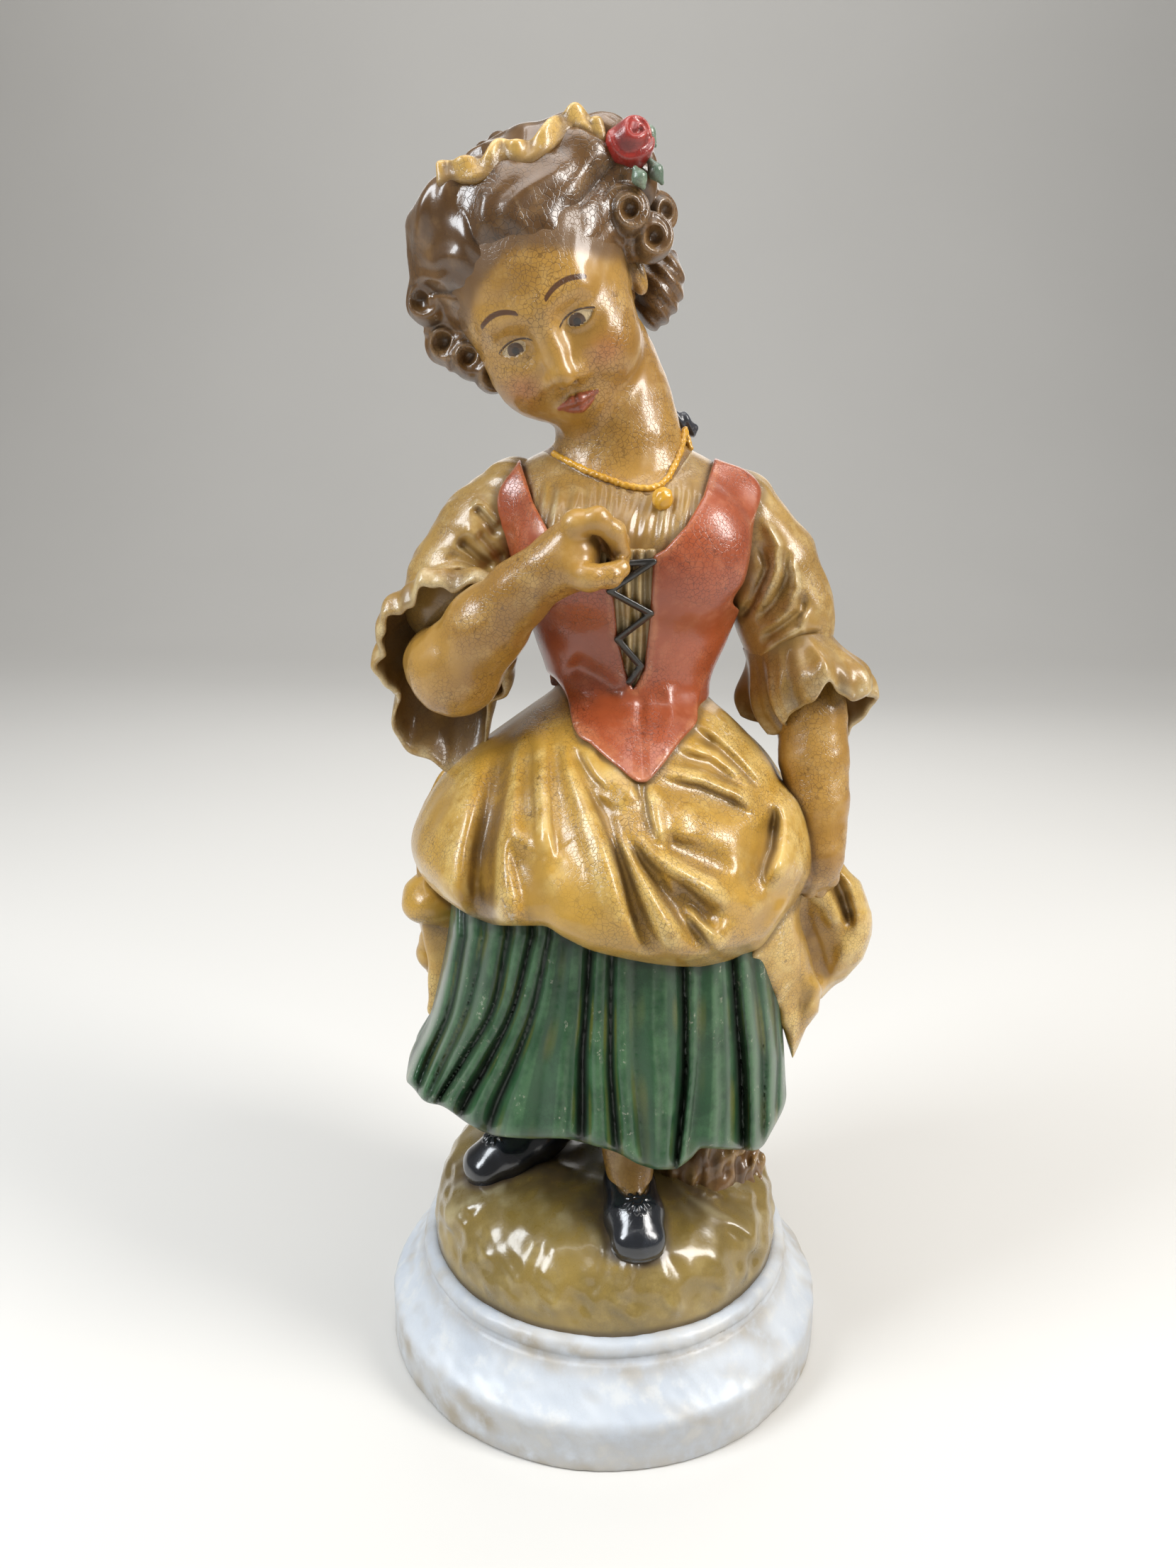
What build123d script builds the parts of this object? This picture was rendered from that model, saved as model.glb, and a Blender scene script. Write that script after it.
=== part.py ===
from build123d import *
import os
from math import cos, exp, pi, radians, sin

# Millimetres, +Z up, origin at the centre of the underside of the plinth.
# The figure faces -Y, so its right side is at -X.

# Plinth
plinth_radius = 75.5
plinth_height = 36.0
band_height = 15.0
edge_round = 2.0
bead_radius = 3.3
bead_ring_radius = 60.8
seat_radius = 50.0
seat_depth = 4.0
fit_clearance = 0.3

# Ground and rock
mound_height = 29.0
mound_back_shift = 10.0
rock_x = 33.0
rock_y = 4.0
rock_radius = 21.0

# Feet
shoe_length = 44.0
shoe_width = 17.0
shoe_height = 13.0
heel_height = 16.0
foot_slope = 11.0
left_toe = (10.5, -53.0)
left_turn = 7.0
right_toe = (-47.0, -15.0)
right_turn = -66.0
ankle_radius = 8.0
rosette_radius = 4.5
rosette_height = 2.5

# Petticoat
hem_gap = 30.0
petticoat_height = 80.0
hem_x = -3.0
hem_half_width = 64.0
hem_half_depth = 63.0
petticoat_taper = 16.0
pleat_count = 24
pleat_depth = 5.0

# Overskirt
apron_drop = 15.0
apron_rise = 54.0
apron_half_width = 66.0
apron_half_depth = 70.0
fold_count = 11
fold_depth = 4.0
fold_sweep = 12.0
front_folds = (-64, -45, -25, -10, 6, 18, 31, 47, 64)
front_fold_depth = 5.0
front_fold_angle = 6.0
front_fold_swing = 60.0
swing_turns_at = 40
apron_split_y = 8.0
drape_drop = 66.0
drape_half_width = 71.0
drape_half_depth = 73.0
drape_wall = 5.0
drape_edge = 2.0
puff_radius = 11.0
puff_reach = 3.0
tail_half_depth = 17.0
tail_reach = 90.0
tail_overlap = 13.0

# Body
waist_x = 5.0
waist_half_width = 23.5
waist_half_depth = 20.5
bust_half_width = 34.0
bust_half_depth = 27.0
torso_height = 74.0
armhole_half_width = 29.0
point_drop = 20.0
point_half_width = 15.0
stomacher_half_width = 6.5
stomacher_height = 36.0
stomacher_x = 6.5
inset = 0.8
lace_radius = 0.8
lace_rungs = 5
neckline_half_width = 24.0
neckline_depth = 32.0

# Arms
sleeve_radius = 14.5
right_elbow = (-58.0, 4.0, 17.0)
right_spread = (-60.0, -4.0, 8.0)
right_rim = (-61.0, -14.0, 2.0)
left_elbow = (47.0, 3.0, 18.0)
left_spread = (52.0, 0.0, 7.0)
left_rim = (56.0, -2.0, -5.0)
flounce_wall = 3.0
flounce_scallops = 9
scallop_depth = 2.5
right_flounce_radius = 25.0
left_flounce_radius = 22.0
forearm_radius = 12.5
wrist_radius = 6.5
finger_radius = 2.7
arm_pin_radius = 2.5
arm_pin_length = 16.0

# Head
head_x = -22.0
head_y = -6.0
head_lift = 42.0
head_tilt = -28.0
head_nod = 16.0
head_turn = -12.0
skull_radius = 30.0
face_radius = 23.5
face_half_height = 31.0
neck_radius = 15.5
neck_pin_radius = 4.0
neck_pin_length = 20.0
hair_radius = 33.5
roll_radius = 7.0
roll_count = 6
curl_radius = 8.0
curl_count = 3
parting_x = 7.0
knot_radius = 23.0
frill_radius = 38.0
frill_height = 6.5
frill_wall = 4.0
frill_waves = 7
rose_radius = 7.5
petal_count = 5
leaf_length = 11.0
leaf_width = 6.0
necklace_radius = 23.5
cord_radius = 1.1
pendant_radius = 3.2
bow_radius = 7.0

# Heights that follow from the stack
mound_z = plinth_height
mound_top = mound_z + mound_height
hem_z = mound_top + hem_gap
seat_z = hem_z + petticoat_height
apron_low = seat_z - apron_drop
waist_z = apron_low + apron_rise + apron_drop
shoulder_z = waist_z + torso_height
drape_low = seat_z - drape_drop


def oval(x, y, z, half_width, half_depth):
    """Flat oval face at height z."""
    return Pos(x, y, z) * Ellipse(half_width, half_depth)


def oval_stack(rows):
    """Solid through ovals given as x, y, z, half width, half depth."""
    return loft([oval(*row) for row in rows])


def folded(x, y, z, half_width, half_depth, count, depth, sweep, samples=4):
    """Flat face whose outline has count rounded folds, depth deep, each moved round by sweep degrees."""
    points = []
    for step in range(samples * count):
        angle = 2 * pi * step / (samples * count)
        fold = depth * (1 - cos(count * (angle - radians(sweep)))) / 2
        points.append((x + (half_width - fold) * sin(angle), y - (half_depth - fold) * cos(angle), z))
    return make_face(Spline(*points, periodic=True))


def limb(stations):
    """Round tapering solid through stations of point and radius."""
    faces = []
    for index, (point, radius) in enumerate(stations):
        before = Vector(*stations[max(index - 1, 0)][0])
        after = Vector(*stations[min(index + 1, len(stations) - 1)][0])
        faces.append(Plane(origin=point, z_dir=after - before) * Circle(radius))
    return loft(faces)


def spheroid(radius, half_height):
    """Round solid of revolution about Z, radius wide and half_height tall from its centre."""
    half = Ellipse(radius, half_height) - Pos(-radius, 0) * Rectangle(2 * radius, 3 * half_height)
    return revolve(Plane.XZ * half, Axis.Z)


def half_space(point, normal):
    """Large block that lies on the side of point that normal looks to."""
    return Plane(origin=point, z_dir=normal) * Pos(0, 0, 250) * Box(600, 600, 500)


def make_plinth():
    bead_z = plinth_height - bead_radius
    cove_top = (bead_ring_radius + bead_radius * cos(radians(35)), bead_z - bead_radius * sin(radians(35)))
    cove_foot = (plinth_radius - edge_round, band_height + edge_round)
    cove_middle = ((cove_top[0] + cove_foot[0]) / 2 - 1.2, (cove_top[1] + cove_foot[1]) / 2 - 1.2)
    bead_crown = (bead_ring_radius, plinth_height)
    bead_side = (bead_ring_radius + bead_radius * cos(radians(25)), bead_z + bead_radius * sin(radians(25)))
    outline = [
        Line((0, 0), (plinth_radius - edge_round, 0)),
        Line((plinth_radius - edge_round, 0), (plinth_radius, edge_round)),
        Line((plinth_radius, edge_round), (plinth_radius, band_height)),
        Line((plinth_radius, band_height), cove_foot),
        ThreePointArc(cove_foot, cove_middle, cove_top),
        ThreePointArc(cove_top, bead_side, bead_crown),
        Line(bead_crown, (seat_radius, plinth_height)),
        Line((seat_radius, plinth_height), (seat_radius, plinth_height - seat_depth)),
        Line((seat_radius, plinth_height - seat_depth), (0, plinth_height - seat_depth)),
        Line((0, plinth_height - seat_depth), (0, 0)),
    ]
    return revolve(Plane.XZ * make_face(outline), Axis.Z)


def make_mound():
    foot = bead_ring_radius - 1.0
    rows = [
        (0, 0, mound_z, foot, foot),
        (0, 0.06 * mound_back_shift, mound_z + 0.35 * mound_height, 0.99 * foot, 0.99 * foot),
        (0, 0.30 * mound_back_shift, mound_z + 0.65 * mound_height, 0.955 * foot, 0.955 * foot),
        (0, 0.65 * mound_back_shift, mound_z + 0.87 * mound_height, 0.86 * foot, 0.86 * foot),
        (0, mound_back_shift, mound_top, 0.60 * foot, 0.60 * foot),
    ]
    spigot = Pos(0, 0, mound_z - seat_depth / 2) * Cylinder(seat_radius - fit_clearance, seat_depth)
    return oval_stack(rows) + spigot


def make_rock(mound):
    rows = [
        (rock_x, rock_y, mound_z + 0.5 * mound_height, 1.15 * rock_radius, 1.2 * rock_radius),
        (rock_x, rock_y, mound_top + 0.2 * hem_gap, rock_radius, 1.1 * rock_radius),
        (rock_x - 4, rock_y + 2, hem_z, 0.85 * rock_radius, rock_radius),
    ]
    faces = [folded(*row, 5, 4.0, 9 * index) for index, row in enumerate(rows)]
    return loft(faces) - mound


def foot_place(toe, turn, toe_z):
    """Place of a shoe: its toe tip at the origin, the foot running back along +Y and uphill."""
    return Pos(toe[0], toe[1], toe_z) * Rot(0, 0, turn) * Rot(foot_slope, 0, 0)


def shoe_section(back, half_width, height):
    """Flat-soled cross-section of a shoe at a distance back from the toe tip."""
    sole = Line((-half_width, 0), (half_width, 0))
    upper = Spline(
        (half_width, 0),
        (0.92 * half_width, 0.5 * height),
        (0, height),
        (-0.92 * half_width, 0.5 * height),
        (-half_width, 0),
    )
    return Plane(origin=(0, back, 0), x_dir=(1, 0, 0), z_dir=(0, -1, 0)) * make_face([sole, upper])


def make_shoe(place, mound, leg):
    half = shoe_width / 2
    upper = loft([
        shoe_section(0, 0.62 * half, 0.45 * shoe_height),
        shoe_section(0.08 * shoe_length, 0.85 * half, 0.68 * shoe_height),
        shoe_section(0.30 * shoe_length, half, 0.92 * shoe_height),
        shoe_section(0.62 * shoe_length, 0.86 * half, shoe_height),
        shoe_section(shoe_length, 0.70 * half, heel_height),
    ])
    return place * upper - mound - leg


def make_leg(place, turn, top):
    """Stockinged foot and ankle, from inside the shoe up to the underside of the petticoat."""
    instep = place * Pos(0, 0.66 * shoe_length, 0.35 * shoe_height)
    ankle = place * Pos(0, 0.72 * shoe_length, shoe_height + 2)
    rows = [
        (instep.position, 0.60 * shoe_width / 2, 0.34 * shoe_length),
        (ankle.position, 0.95 * ankle_radius, 1.30 * ankle_radius),
        (Vector(top[0], top[1], hem_z), 1.1 * ankle_radius, 1.1 * ankle_radius),
    ]
    return loft([Pos(p.X, p.Y, p.Z) * Rot(0, 0, turn) * Ellipse(a, b) for p, a, b in rows])


def make_rosette(place, blockers):
    seat = place * Pos(0, 0.28 * shoe_length, 0.90 * shoe_height) * Rot(10, 0, 0)
    disc = Cylinder(rosette_radius, 2 * rosette_height)
    notch = Cylinder(0.16 * rosette_radius, 6 * rosette_height)
    for step in range(10):
        angle = 2 * pi * step / 10
        disc -= Pos(rosette_radius * cos(angle), rosette_radius * sin(angle), 0) * notch
    rosette = seat * disc
    for blocker in blockers:
        rosette -= blocker
    return rosette


def petticoat_rows(extra):
    """Heights and sizes of the petticoat outline, grown by extra."""
    rows = []
    for part, narrowing in ((0.0, 0.0), (0.25, 0.28), (0.56, 0.62), (1.0, 1.0)):
        z = hem_z + part * petticoat_height
        inward = narrowing * petticoat_taper
        half_width = hem_half_width - inward + extra
        half_depth = hem_half_depth - 0.9 * inward + extra
        rows.append((hem_x * (1 - part), 0.0, z, half_width, half_depth))
    return rows


def make_petticoat():
    depths = (1.0, 0.9, 0.75, 0.5)
    faces = []
    for row, part in zip(petticoat_rows(0), depths):
        faces.append(folded(*row, pleat_count, pleat_depth * part, 0, samples=2))
    return loft(faces)


def make_overskirt(rows):
    """Draped form whose folds sweep round as they fall from the waist."""
    faces = []
    for x, z, half_width, half_depth, part in rows:
        sweep = fold_sweep * (waist_z - z) / apron_rise
        faces.append(folded(x, 0, z, half_width, half_depth, fold_count, fold_depth * part, sweep))
    return loft(faces)


def apron_rows(extra):
    drop = apron_drop + apron_rise
    return [
        (0, apron_low, 0.90 * apron_half_width + extra, 0.91 * apron_half_depth + extra, 0.5),
        (0, apron_low + 0.09 * drop, 0.985 * apron_half_width + extra, apron_half_depth + extra, 0.8),
        (0, apron_low + 0.26 * drop, apron_half_width + extra, 0.98 * apron_half_depth + extra, 1.0),
        (0, apron_low + 0.51 * drop, 0.89 * apron_half_width + extra, 0.85 * apron_half_depth + extra, 1.0),
        (2, apron_low + 0.72 * drop, 0.70 * apron_half_width + extra, 0.66 * apron_half_depth + extra, 0.8),
        (4, apron_low + 0.90 * drop, 0.48 * apron_half_width + extra, 0.44 * apron_half_depth + extra, 0.5),
        (waist_x, waist_z, waist_half_width + 1 + extra, waist_half_depth + 1 + extra, 0.3),
    ]


def draped(x, z, half_width, half_depth, part):
    """Section of the apron: folds that stand at their own angles at the hem and swing round as they rise."""
    swing = front_fold_swing * ((z - apron_low) / (waist_z - apron_low)) ** 3
    angles = list(range(-100, 101, 5)) + list(range(115, 260, 15))
    points = []
    for angle in angles:
        crest = 0.0
        for fold in front_folds:
            middle = fold + (swing if fold > swing_turns_at else -swing)
            crest += exp(-(((angle - middle) / front_fold_angle) ** 2))
        inward = front_fold_depth * part * (1 - min(crest, 1.0))
        turn = radians(angle)
        points.append((x + (half_width - inward) * sin(turn), -(half_depth - inward) * cos(turn), z))
    return make_face(Spline(*points, periodic=True))


def point_prism():
    """Block with the outline of the point of the bodice, reaching back into the overskirt."""
    tip = (waist_x + 4, waist_z - point_drop)
    corners = [
        (waist_x - point_half_width, waist_z),
        (waist_x + point_half_width, waist_z),
        tip,
    ]
    face = make_face(Polyline(*corners, close=True))
    return extrude(Plane(origin=(0, -100, 0), x_dir=(1, 0, 0), z_dir=(0, -1, 0)) * face, -90)


def drape_rows():
    span = waist_z - drape_low
    low = petticoat_rows(fit_clearance)[1]
    return [
        (low[0], drape_low, low[3] + drape_edge + 1, low[4] + drape_wall, 0.1),
        (low[0], drape_low + 0.12 * span, low[3] + drape_edge, low[4] + 1.6 * drape_wall, 0.2),
        (0, drape_low + 0.36 * span, drape_half_width, drape_half_depth, 1.0),
        (0, drape_low + 0.55 * span, 0.98 * drape_half_width, drape_half_depth, 1.0),
        (0, drape_low + 0.74 * span, 0.83 * drape_half_width, 0.84 * drape_half_depth, 1.0),
        (waist_x, waist_z, waist_half_width + 1, waist_half_depth + 1, 0.3),
    ]


def side_seam():
    """Plane in which the apron meets the drape."""
    return Plane(origin=(0, apron_split_y, 0), z_dir=(0, 1, 0))


def skirt_envelope():
    """Smooth forms that just hold the folds of the apron and of the drape."""
    forms = []
    for rows in (apron_rows(0), drape_rows()):
        forms.append(oval_stack([(x, 0, z, width, depth) for x, z, width, depth, part in rows]))
    return [forms[0], split(forms[1], side_seam(), keep=Keep.TOP)]


def make_overskirt_front(pocket):
    form = loft([draped(*row) for row in apron_rows(0)]) - pocket
    return split(form, side_seam(), keep=Keep.BOTTOM) - point_prism()


def make_overskirt_back(pocket):
    form = make_overskirt(drape_rows()) - pocket
    return split(form, side_seam(), keep=Keep.TOP)


def make_puff(blockers):
    x = -drape_half_width - puff_reach + puff_radius
    rows = [
        (x + 6, apron_split_y, apron_low - 24, 0.25 * puff_radius, 0.4 * puff_radius),
        (x + 2, apron_split_y, apron_low - 16, 0.8 * puff_radius, 0.9 * puff_radius),
        (x, apron_split_y, apron_low - 4, puff_radius, 1.1 * puff_radius),
        (x + 3, apron_split_y, apron_low + 10, 0.8 * puff_radius, puff_radius),
        (x + 8, apron_split_y, apron_low + 18, 0.2 * puff_radius, 0.4 * puff_radius),
    ]
    puff = loft([folded(*row, 5, 0.18 * row[3], 6 * index) for index, row in enumerate(rows)])
    for blocker in blockers:
        puff -= blocker
    return puff


def make_tail(blockers):
    low = hem_z + 1
    high = apron_low + 8
    anchor = drape_half_width - tail_overlap
    spread = tail_reach - anchor
    shape = [
        (0.00, 12, 0.17, 0.33, 0.3),
        (0.20, 10, 0.00, 0.50, 0.7),
        (0.40, 9, 0.00, 0.78, 1.0),
        (0.66, 9, 0.00, 1.00, 1.0),
        (0.85, 7, 0.03, 0.84, 0.8),
        (1.00, 4, 0.03, 0.34, 0.4),
    ]
    rows = []
    for part, y, inner, outer, depth in shape:
        x = anchor + spread * (inner + outer) / 2
        rows.append((x, y, low + part * (high - low), spread * (outer - inner) / 2, depth * tail_half_depth))
    tail = loft([folded(*row, 4, 0.25 * row[3], 8 * index) for index, row in enumerate(rows)])
    for blocker in blockers:
        tail -= blocker
    return tail


def torso_rows(extra):
    """Ovals of the torso from the waist to the foot of the neck, grown by extra."""
    shape = [
        (0, 0, 0, waist_half_width, waist_half_depth),
        (0.4, -1, 0.22, 0.83 * bust_half_width, 0.84 * bust_half_depth),
        (0.5, -3, 0.46, bust_half_width, bust_half_depth),
        (-1, -3, 0.63, 1.06 * bust_half_width, bust_half_depth),
        (-3, 0, 0.80, 1.06 * bust_half_width, 0.86 * bust_half_depth),
        (-4, 2, 0.92, 0.88 * bust_half_width, 0.64 * bust_half_depth),
        (-4, 3, 1.00, 0.55 * bust_half_width, 0.50 * bust_half_depth),
    ]
    rows = []
    for x, y, part, half_width, half_depth in shape:
        rows.append((waist_x + x, y, waist_z + part * torso_height, half_width + extra, half_depth + extra))
    return rows


def armhole(side):
    """Point and outward direction of the flat armhole on one side."""
    point = (waist_x - 3 + side * armhole_half_width, 2, waist_z + 0.80 * torso_height)
    return point, (side * 0.97, 0, 0.24)


def torso(extra):
    form = oval_stack(torso_rows(extra))
    for side in (-1, 1):
        form -= half_space(*armhole(side))
    return form


def stomacher_prism():
    top = waist_z + 4 + stomacher_height
    corners = [
        (stomacher_x, waist_z + 4),
        (stomacher_x + stomacher_half_width, top),
        (stomacher_x - stomacher_half_width, top),
    ]
    face = make_face(Polyline(*corners, close=True))
    return extrude(Plane(origin=(0, -100, 0), x_dir=(1, 0, 0), z_dir=(0, -1, 0)) * face, -90)


def neckline_prism():
    top = shoulder_z + 20
    low = waist_z + 4 + stomacher_height
    middle = waist_x - 3
    curve = Spline(
        (middle - neckline_half_width, top),
        (middle - neckline_half_width, low + 0.75 * neckline_depth),
        (middle - 0.7 * neckline_half_width, low + 0.25 * neckline_depth),
        (stomacher_x, low),
        (middle + 0.8 * neckline_half_width, low + 0.25 * neckline_depth),
        (middle + neckline_half_width, low + 0.75 * neckline_depth),
        (middle + neckline_half_width, top),
    )
    lid = Line((middle + neckline_half_width, top), (middle - neckline_half_width, top))
    face = make_face([curve, lid])
    return extrude(Plane(origin=(0, -100, 0), x_dir=(1, 0, 0), z_dir=(0, -1, 0)) * face, -100)


def make_bodice(neck):
    point = oval_stack([(x, 0, z, width, depth) for x, z, width, depth, part in apron_rows(1.2)]) & point_prism()
    return torso(0) - stomacher_prism() - neckline_prism() - neck + point


def make_lace():
    """Zigzag cord over the stomacher, with a hanging end."""
    front = -bust_half_depth - 3.5
    base = waist_z + 8
    rise = (stomacher_height - 8) / lace_rungs
    points = []
    for step in range(lace_rungs + 1):
        spread = 1.2 + 0.75 * (stomacher_half_width - 1.2) * step / lace_rungs
        side = 1 if step % 2 else -1
        z = base + rise * step
        depth = front + 4.0 * (1 - step / lace_rungs)
        points.append((stomacher_x + side * spread, depth, z))
    path = Polyline(*points)
    cord = Plane(origin=path @ 0, z_dir=path % 0) * Circle(lace_radius)
    return sweep(cord, path, transition=Transition.ROUND)


def from_waist(x, y, z):
    """Point measured from the middle of the waist."""
    return (waist_x + x, y, waist_z + z)


def sleeve_stations(side, elbow):
    """Points and radii of the upper sleeve, from inside the shoulder down to the elbow."""
    point = Vector(*armhole(side)[0])
    root = point - Vector(side * 12, 0, 6)
    shoulder = point + Vector(side * 2, 0, -6)
    tip = Vector(*from_waist(*elbow))
    middle = (shoulder + tip) * 0.5 + Vector(side * 1.5, 0, 1.5)
    return [
        (tuple(root), 0.75 * sleeve_radius),
        (tuple(shoulder), 0.88 * sleeve_radius),
        (tuple(middle), sleeve_radius),
        (tuple(tip), sleeve_radius),
    ]


def make_sleeve(side, elbow, body):
    form = limb(sleeve_stations(side, elbow))
    return (form & half_space(*armhole(side))) - body


def make_flounce(side, elbow, spread, rim, rim_radius, blockers):
    """Open ruffled cuff with a wall, from the flat end of the sleeve to its scalloped rim."""
    middle = Vector(*sleeve_stations(side, elbow)[2][0])
    start = Vector(*from_waist(*elbow))
    places = (start, Vector(*from_waist(*spread)), Vector(*from_waist(*rim)))
    directions = (start - middle, places[2] - start, places[2] - places[1])
    shells = []
    for wall in (0, flounce_wall):
        radii = (sleeve_radius - wall, 0.86 * rim_radius - wall, rim_radius - wall)
        depths = (0, 0.7 * scallop_depth, scallop_depth)
        faces = []
        for place, direction, radius, depth in zip(places, directions, radii, depths):
            plane = Plane(origin=place, x_dir=(1, 0, 0), z_dir=direction)
            faces.append(plane * folded(0, 0, 0, 0.92 * radius, radius, flounce_scallops, depth, 0))
        shells.append(loft(faces))
    cuff = shells[0] - shells[1]
    for blocker in blockers:
        cuff -= blocker
    return cuff


def make_right_forearm(body):
    """Forearm raised to the breast, with its fingers bent down."""
    arm = limb([
        (from_waist(-55, -6, 7), 0.90 * forearm_radius),
        (from_waist(-51, -17, 9), forearm_radius),
        (from_waist(-41, -27, 22), 0.82 * forearm_radius),
        (from_waist(-26, -36, 38), wrist_radius),
        (from_waist(-17, -40, 44), 1.05 * wrist_radius),
    ])
    arm += Pos(*from_waist(-13, -40, 45)) * Sphere(1.15 * wrist_radius)
    for step in range(4):
        drop = 1.33 * finger_radius * step
        arm += limb([
            (from_waist(-13, -40, 48 - drop), finger_radius),
            (from_waist(-8, -42 - 0.8 * step, 50 - drop), finger_radius),
            (from_waist(-1, -41, 48.5 - drop), 0.95 * finger_radius),
            (from_waist(1, -34, 42 - 0.9 * drop), 0.80 * finger_radius),
        ])
    return arm - body


def make_left_forearm(blockers):
    """Forearm that hangs at the hip, with its fingers over the gathered skirt."""
    arm = limb([
        (from_waist(*left_elbow), 0.80 * forearm_radius),
        (from_waist(53, 0, 5), 0.80 * forearm_radius),
        (from_waist(57, -6, -14), 0.78 * forearm_radius),
        (from_waist(61, -12, -41), wrist_radius),
        (from_waist(61, -15, -49), 1.1 * wrist_radius),
    ])
    for step in range(4):
        shift = 1.25 * finger_radius * step
        arm += limb([
            (from_waist(61 - 0.3 * shift, -19 + shift, -45), finger_radius),
            (from_waist(61.5, -21 + shift, -54), 1.1 * finger_radius),
            (from_waist(59, -20 + shift, -62), 0.8 * finger_radius),
        ])
    for blocker in blockers:
        arm -= blocker
    return arm


def head_place():
    centre = Pos(head_x, head_y, shoulder_z + head_lift)
    return centre * Rot(0, head_tilt, 0) * Rot(head_nod, 0, 0) * Rot(0, 0, head_turn)


def make_neck():
    top = (head_place() * Pos(0, 6, -18)).position
    base = Vector(waist_x - 3, 1, shoulder_z - 8)
    return limb([
        (tuple(base), 1.08 * neck_radius),
        (tuple(base + (top - base) * 0.4), neck_radius),
        (tuple(top), 0.95 * neck_radius),
    ])


def make_head(neck):
    skull = Pos(0, 3, 6) * Rot(90, 0, 0) * spheroid(skull_radius, 1.1 * skull_radius)
    face = Pos(0, -8, -10) * spheroid(face_radius, face_half_height)
    chin = Pos(0, -17, -32) * Sphere(0.42 * face_radius)
    nose = Pos(0, 7.5 - skull_radius - 6, -9) * Rot(-14, 0, 0) * spheroid(3.2, 7.5)
    form = skull + face + chin + nose
    for side in (-1, 1):
        form += Pos(side * 0.93 * skull_radius, 2, -8) * Rot(0, side * 10, 0) * spheroid(3.6, 7.5)
    return head_place() * form + neck


def make_hair(head):
    """Dressed hair: a cap with a rounded hairline, rolls swept back over it and curls beside the face."""
    mass = Pos(0, 6, 8) * Rot(90, 0, 0) * spheroid(hair_radius, 1.04 * hair_radius)
    mass -= Pos(0, -44, -20) * Sphere(42)
    for step in range(roll_count):
        angle = -72 + 144 * step / (roll_count - 1)
        reach = hair_radius - 5
        x = reach * sin(radians(angle))
        z = 6 + (reach - 2) * cos(radians(angle))
        place = Pos(x, -14, z) * Rot(0, angle, 0) * Rot(-55, 0, 0)
        mass += place * spheroid(roll_radius, 2.0 * roll_radius)
    for side in (-1, 1):
        for step in range(curl_count):
            x = side * (hair_radius - 1 - 1.2 * step * step)
            mass += Pos(x, -6 + 5 * step, 2 - 1.35 * curl_radius * step) * Sphere(curl_radius)
    return head_place() * mass - head


def hair_parting():
    """Plane at the side parting, in which the two sides of the hair meet."""
    spot = (head_place() * Pos(parting_x, 0, 0)).position
    aside = (head_place() * Pos(parting_x + 1, 0, 0)).position - spot
    return Plane(origin=spot, z_dir=aside)


def make_knot(hair, head):
    knot = head_place() * Pos(0, 22, 22) * Rot(60, 0, 0) * spheroid(knot_radius, 0.9 * knot_radius)
    return knot - hair - head


def make_frill(blockers):
    """Upright scalloped band over the crown of the head."""
    outer = []
    for step in range(6 * frill_waves + 1):
        angle = radians(-24 + 86 * step / (6 * frill_waves))
        out = frill_radius + 0.9 * cos(2 * pi * step / 6)
        outer.append((out * sin(angle), out * cos(angle)))
    shrink = 1 - frill_height / frill_radius
    inner = [(x * shrink, y * shrink) for x, y in outer]
    edges = [
        Spline(*outer),
        Line(outer[-1], inner[-1]),
        Polyline(*reversed(inner)),
        Line(inner[0], outer[0]),
    ]
    plane = Plane(origin=(0, -1, 6), x_dir=(1, 0, 0), z_dir=(0, -1, 0))
    band = head_place() * extrude(plane * make_face(edges), frill_wall)
    for blocker in blockers:
        band -= blocker
    return band


def rose_place():
    return head_place() * Pos(36, -15, 19) * Rot(0, 58, 0) * Rot(30, 0, 0)


def make_rose(blockers):
    flower = Pos(0, 0, 0.3 * rose_radius) * spheroid(0.5 * rose_radius, 0.7 * rose_radius)
    for step in range(petal_count):
        petal = Rot(0, 0, 360 * step / petal_count) * Pos(0.45 * rose_radius, 0, 0) * Rot(0, 35, 0)
        flower += petal * spheroid(0.5 * rose_radius, 0.75 * rose_radius)
    rose = rose_place() * flower
    for blocker in blockers:
        rose -= blocker
    return rose


def make_leaves(blockers):
    leaves = Part()
    for angle in (150, 215, 300):
        outline = [
            ThreePointArc((0, 0), (leaf_length / 2, leaf_width / 2), (leaf_length, 0)),
            ThreePointArc((leaf_length, 0), (leaf_length / 2, -leaf_width / 2), (0, 0)),
        ]
        leaf = extrude(make_face(outline), 2.4)
        leaves += Rot(0, 0, angle) * Pos(0.5 * rose_radius, 0, -0.45 * rose_radius) * leaf
    leaves = rose_place() * leaves
    for blocker in blockers:
        leaves -= blocker
    return leaves


def necklace_ring():
    return Pos(waist_x - 3, -4.5, shoulder_z - 6) * Rot(24, -9, 0)


def make_necklace(blockers):
    ring = necklace_ring() * Torus(necklace_radius, cord_radius)
    for blocker in blockers:
        ring -= blocker
    return ring


def make_pendant(blockers):
    spot = necklace_ring() * Pos(6, -necklace_radius - 1.5, -pendant_radius - cord_radius)
    drop = spot * spheroid(pendant_radius, 1.25 * pendant_radius)
    for blocker in blockers:
        drop -= blocker
    return drop


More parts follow.
